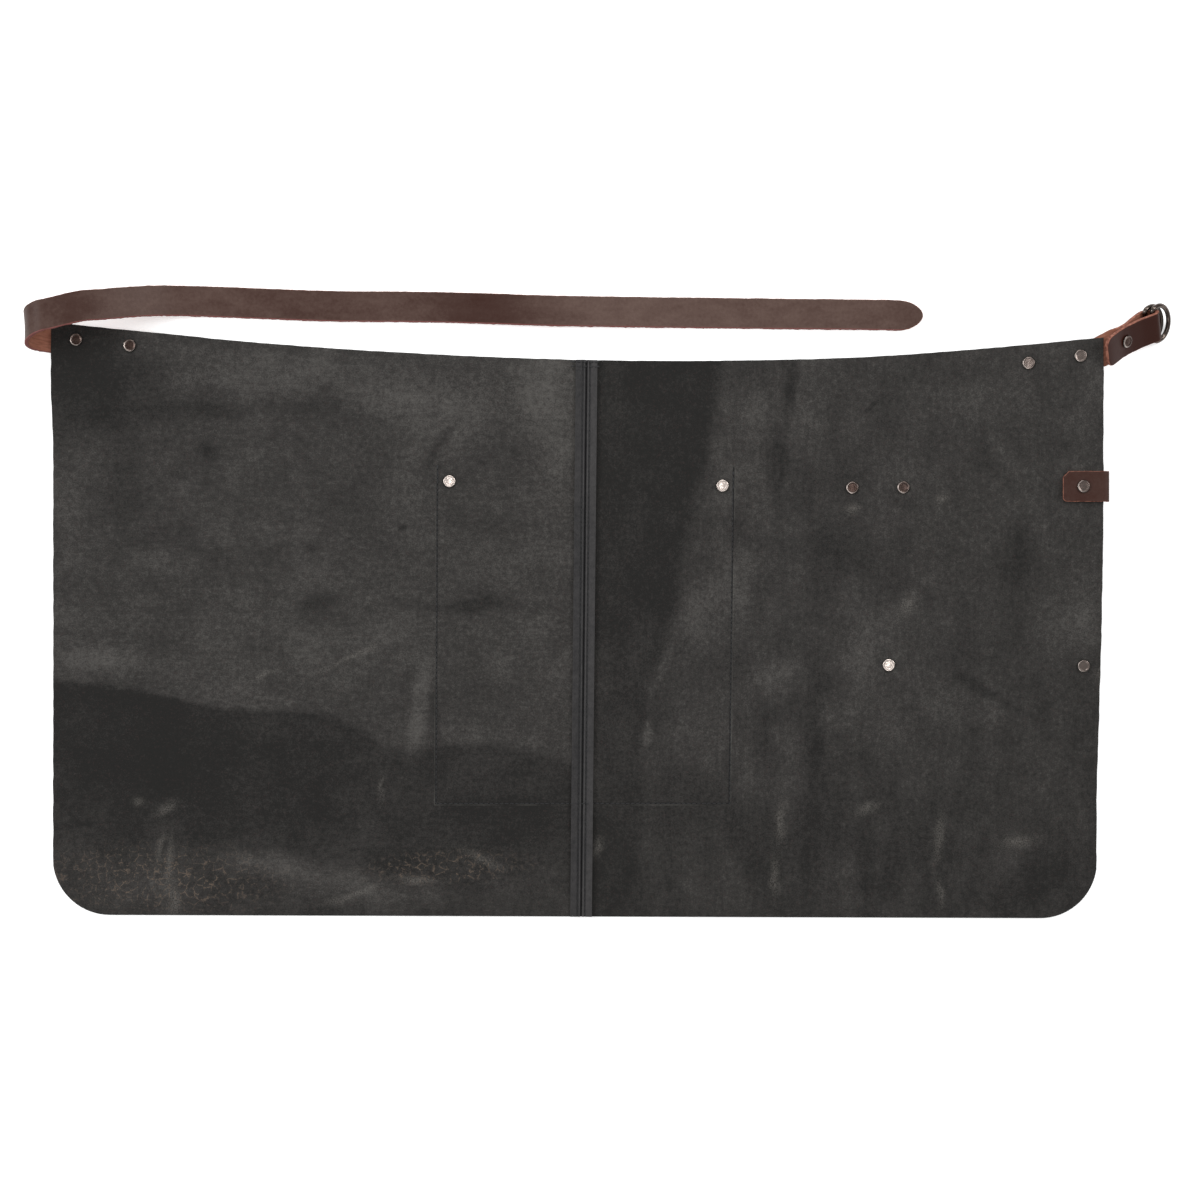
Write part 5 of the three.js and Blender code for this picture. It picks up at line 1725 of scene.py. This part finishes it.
def stitched(name, rows, tree, material, width):
    """One mesh of stitches along all the rows."""
    points, edges = [], []
    for row in rows:
        start = len(points)
        points += row.tolist()
        edges += [(start + k, start + k + 1) for k in range(len(row) - 1)]
    path = bpy.data.meshes.new(name)
    path.from_pydata(points, edges, [])
    values = {
        "Pitch": STITCH_PITCH,
        "Length": STITCH_LENGTH,
        "Width": width,
        "Height": STITCH_HEIGHT,
        "Seed": STITCH_SEED,
        "Material": material,
    }
    return grown(name, new_object(name + "_path", path), tree, values)


def black_thread():
    material = plain_material("black_thread", grey(24, 24, 26)[:3], 0.6)
    tree = material.node_tree
    where = out(node(tree, "ShaderNodeTexCoord"), "Object")
    twist = cloud(tree, where, 2600, 2)
    colour = blend_colour(tree, spread(tree, twist, 0.3, 0.7), grey(6, 6, 7), grey(22, 22, 24))
    set_shader(tree, {"Base Color": colour, "Normal": bumps(tree, twist, 0.4, mm(0.1))})
    return material


BLACK_THREAD = black_thread()
stitches = stitch_tree()
seam_stitches = stitched("seam_stitches", seam_rows(), stitches, BLACK_THREAD, mm(0.9))
backtack = stitched("backtack_stitches", backtack_rows(), stitches, BLACK_THREAD, mm(1.4))
pocket_stitches = stitched("pocket_stitches", pocket_rows(), stitches, BLACK_THREAD, mm(0.95))

# %% [markdown]
# ## What rides on what
# Everything but the two rings is one body, the apron. Each fine piece stands for its solid, which
# stays in the model for its mass and its collision.

# %% Hand the pieces to the frame
stand_ins = [
    (left_leather, "black_leather", ["left_panel"]),
    (right_leather, "black_leather", ["right_panel"]),
    (pocket_leather, "black_leather", ["pocket"]),
    (tie_strap, "brown_leather", ["long_strap"]),
    (ring_tab_leather, "brown_leather", ["ring_tab"]),
    (upper_loop_leather, "brown_leather", ["upper_loop_strap"]),
    (lower_loop_leather, "brown_leather", ["lower_loop_strap"]),
    (rivets, "rivet_metal", list(rivet_tints)),
    (seam_stitches, "black_leather", []),
    (backtack, "black_leather", []),
    (pocket_stitches, "black_leather", []),
]
for piece, slot, nodes in stand_ins:
    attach(piece, "apron")
    if nodes:
        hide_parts(*nodes)
for piece, body, solid in (
    (outer_ring, "outer_ring", "d_ring_outer"),
    (inner_ring, "inner_ring", "d_ring_inner"),
):
    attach(piece, body)
    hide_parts(solid)
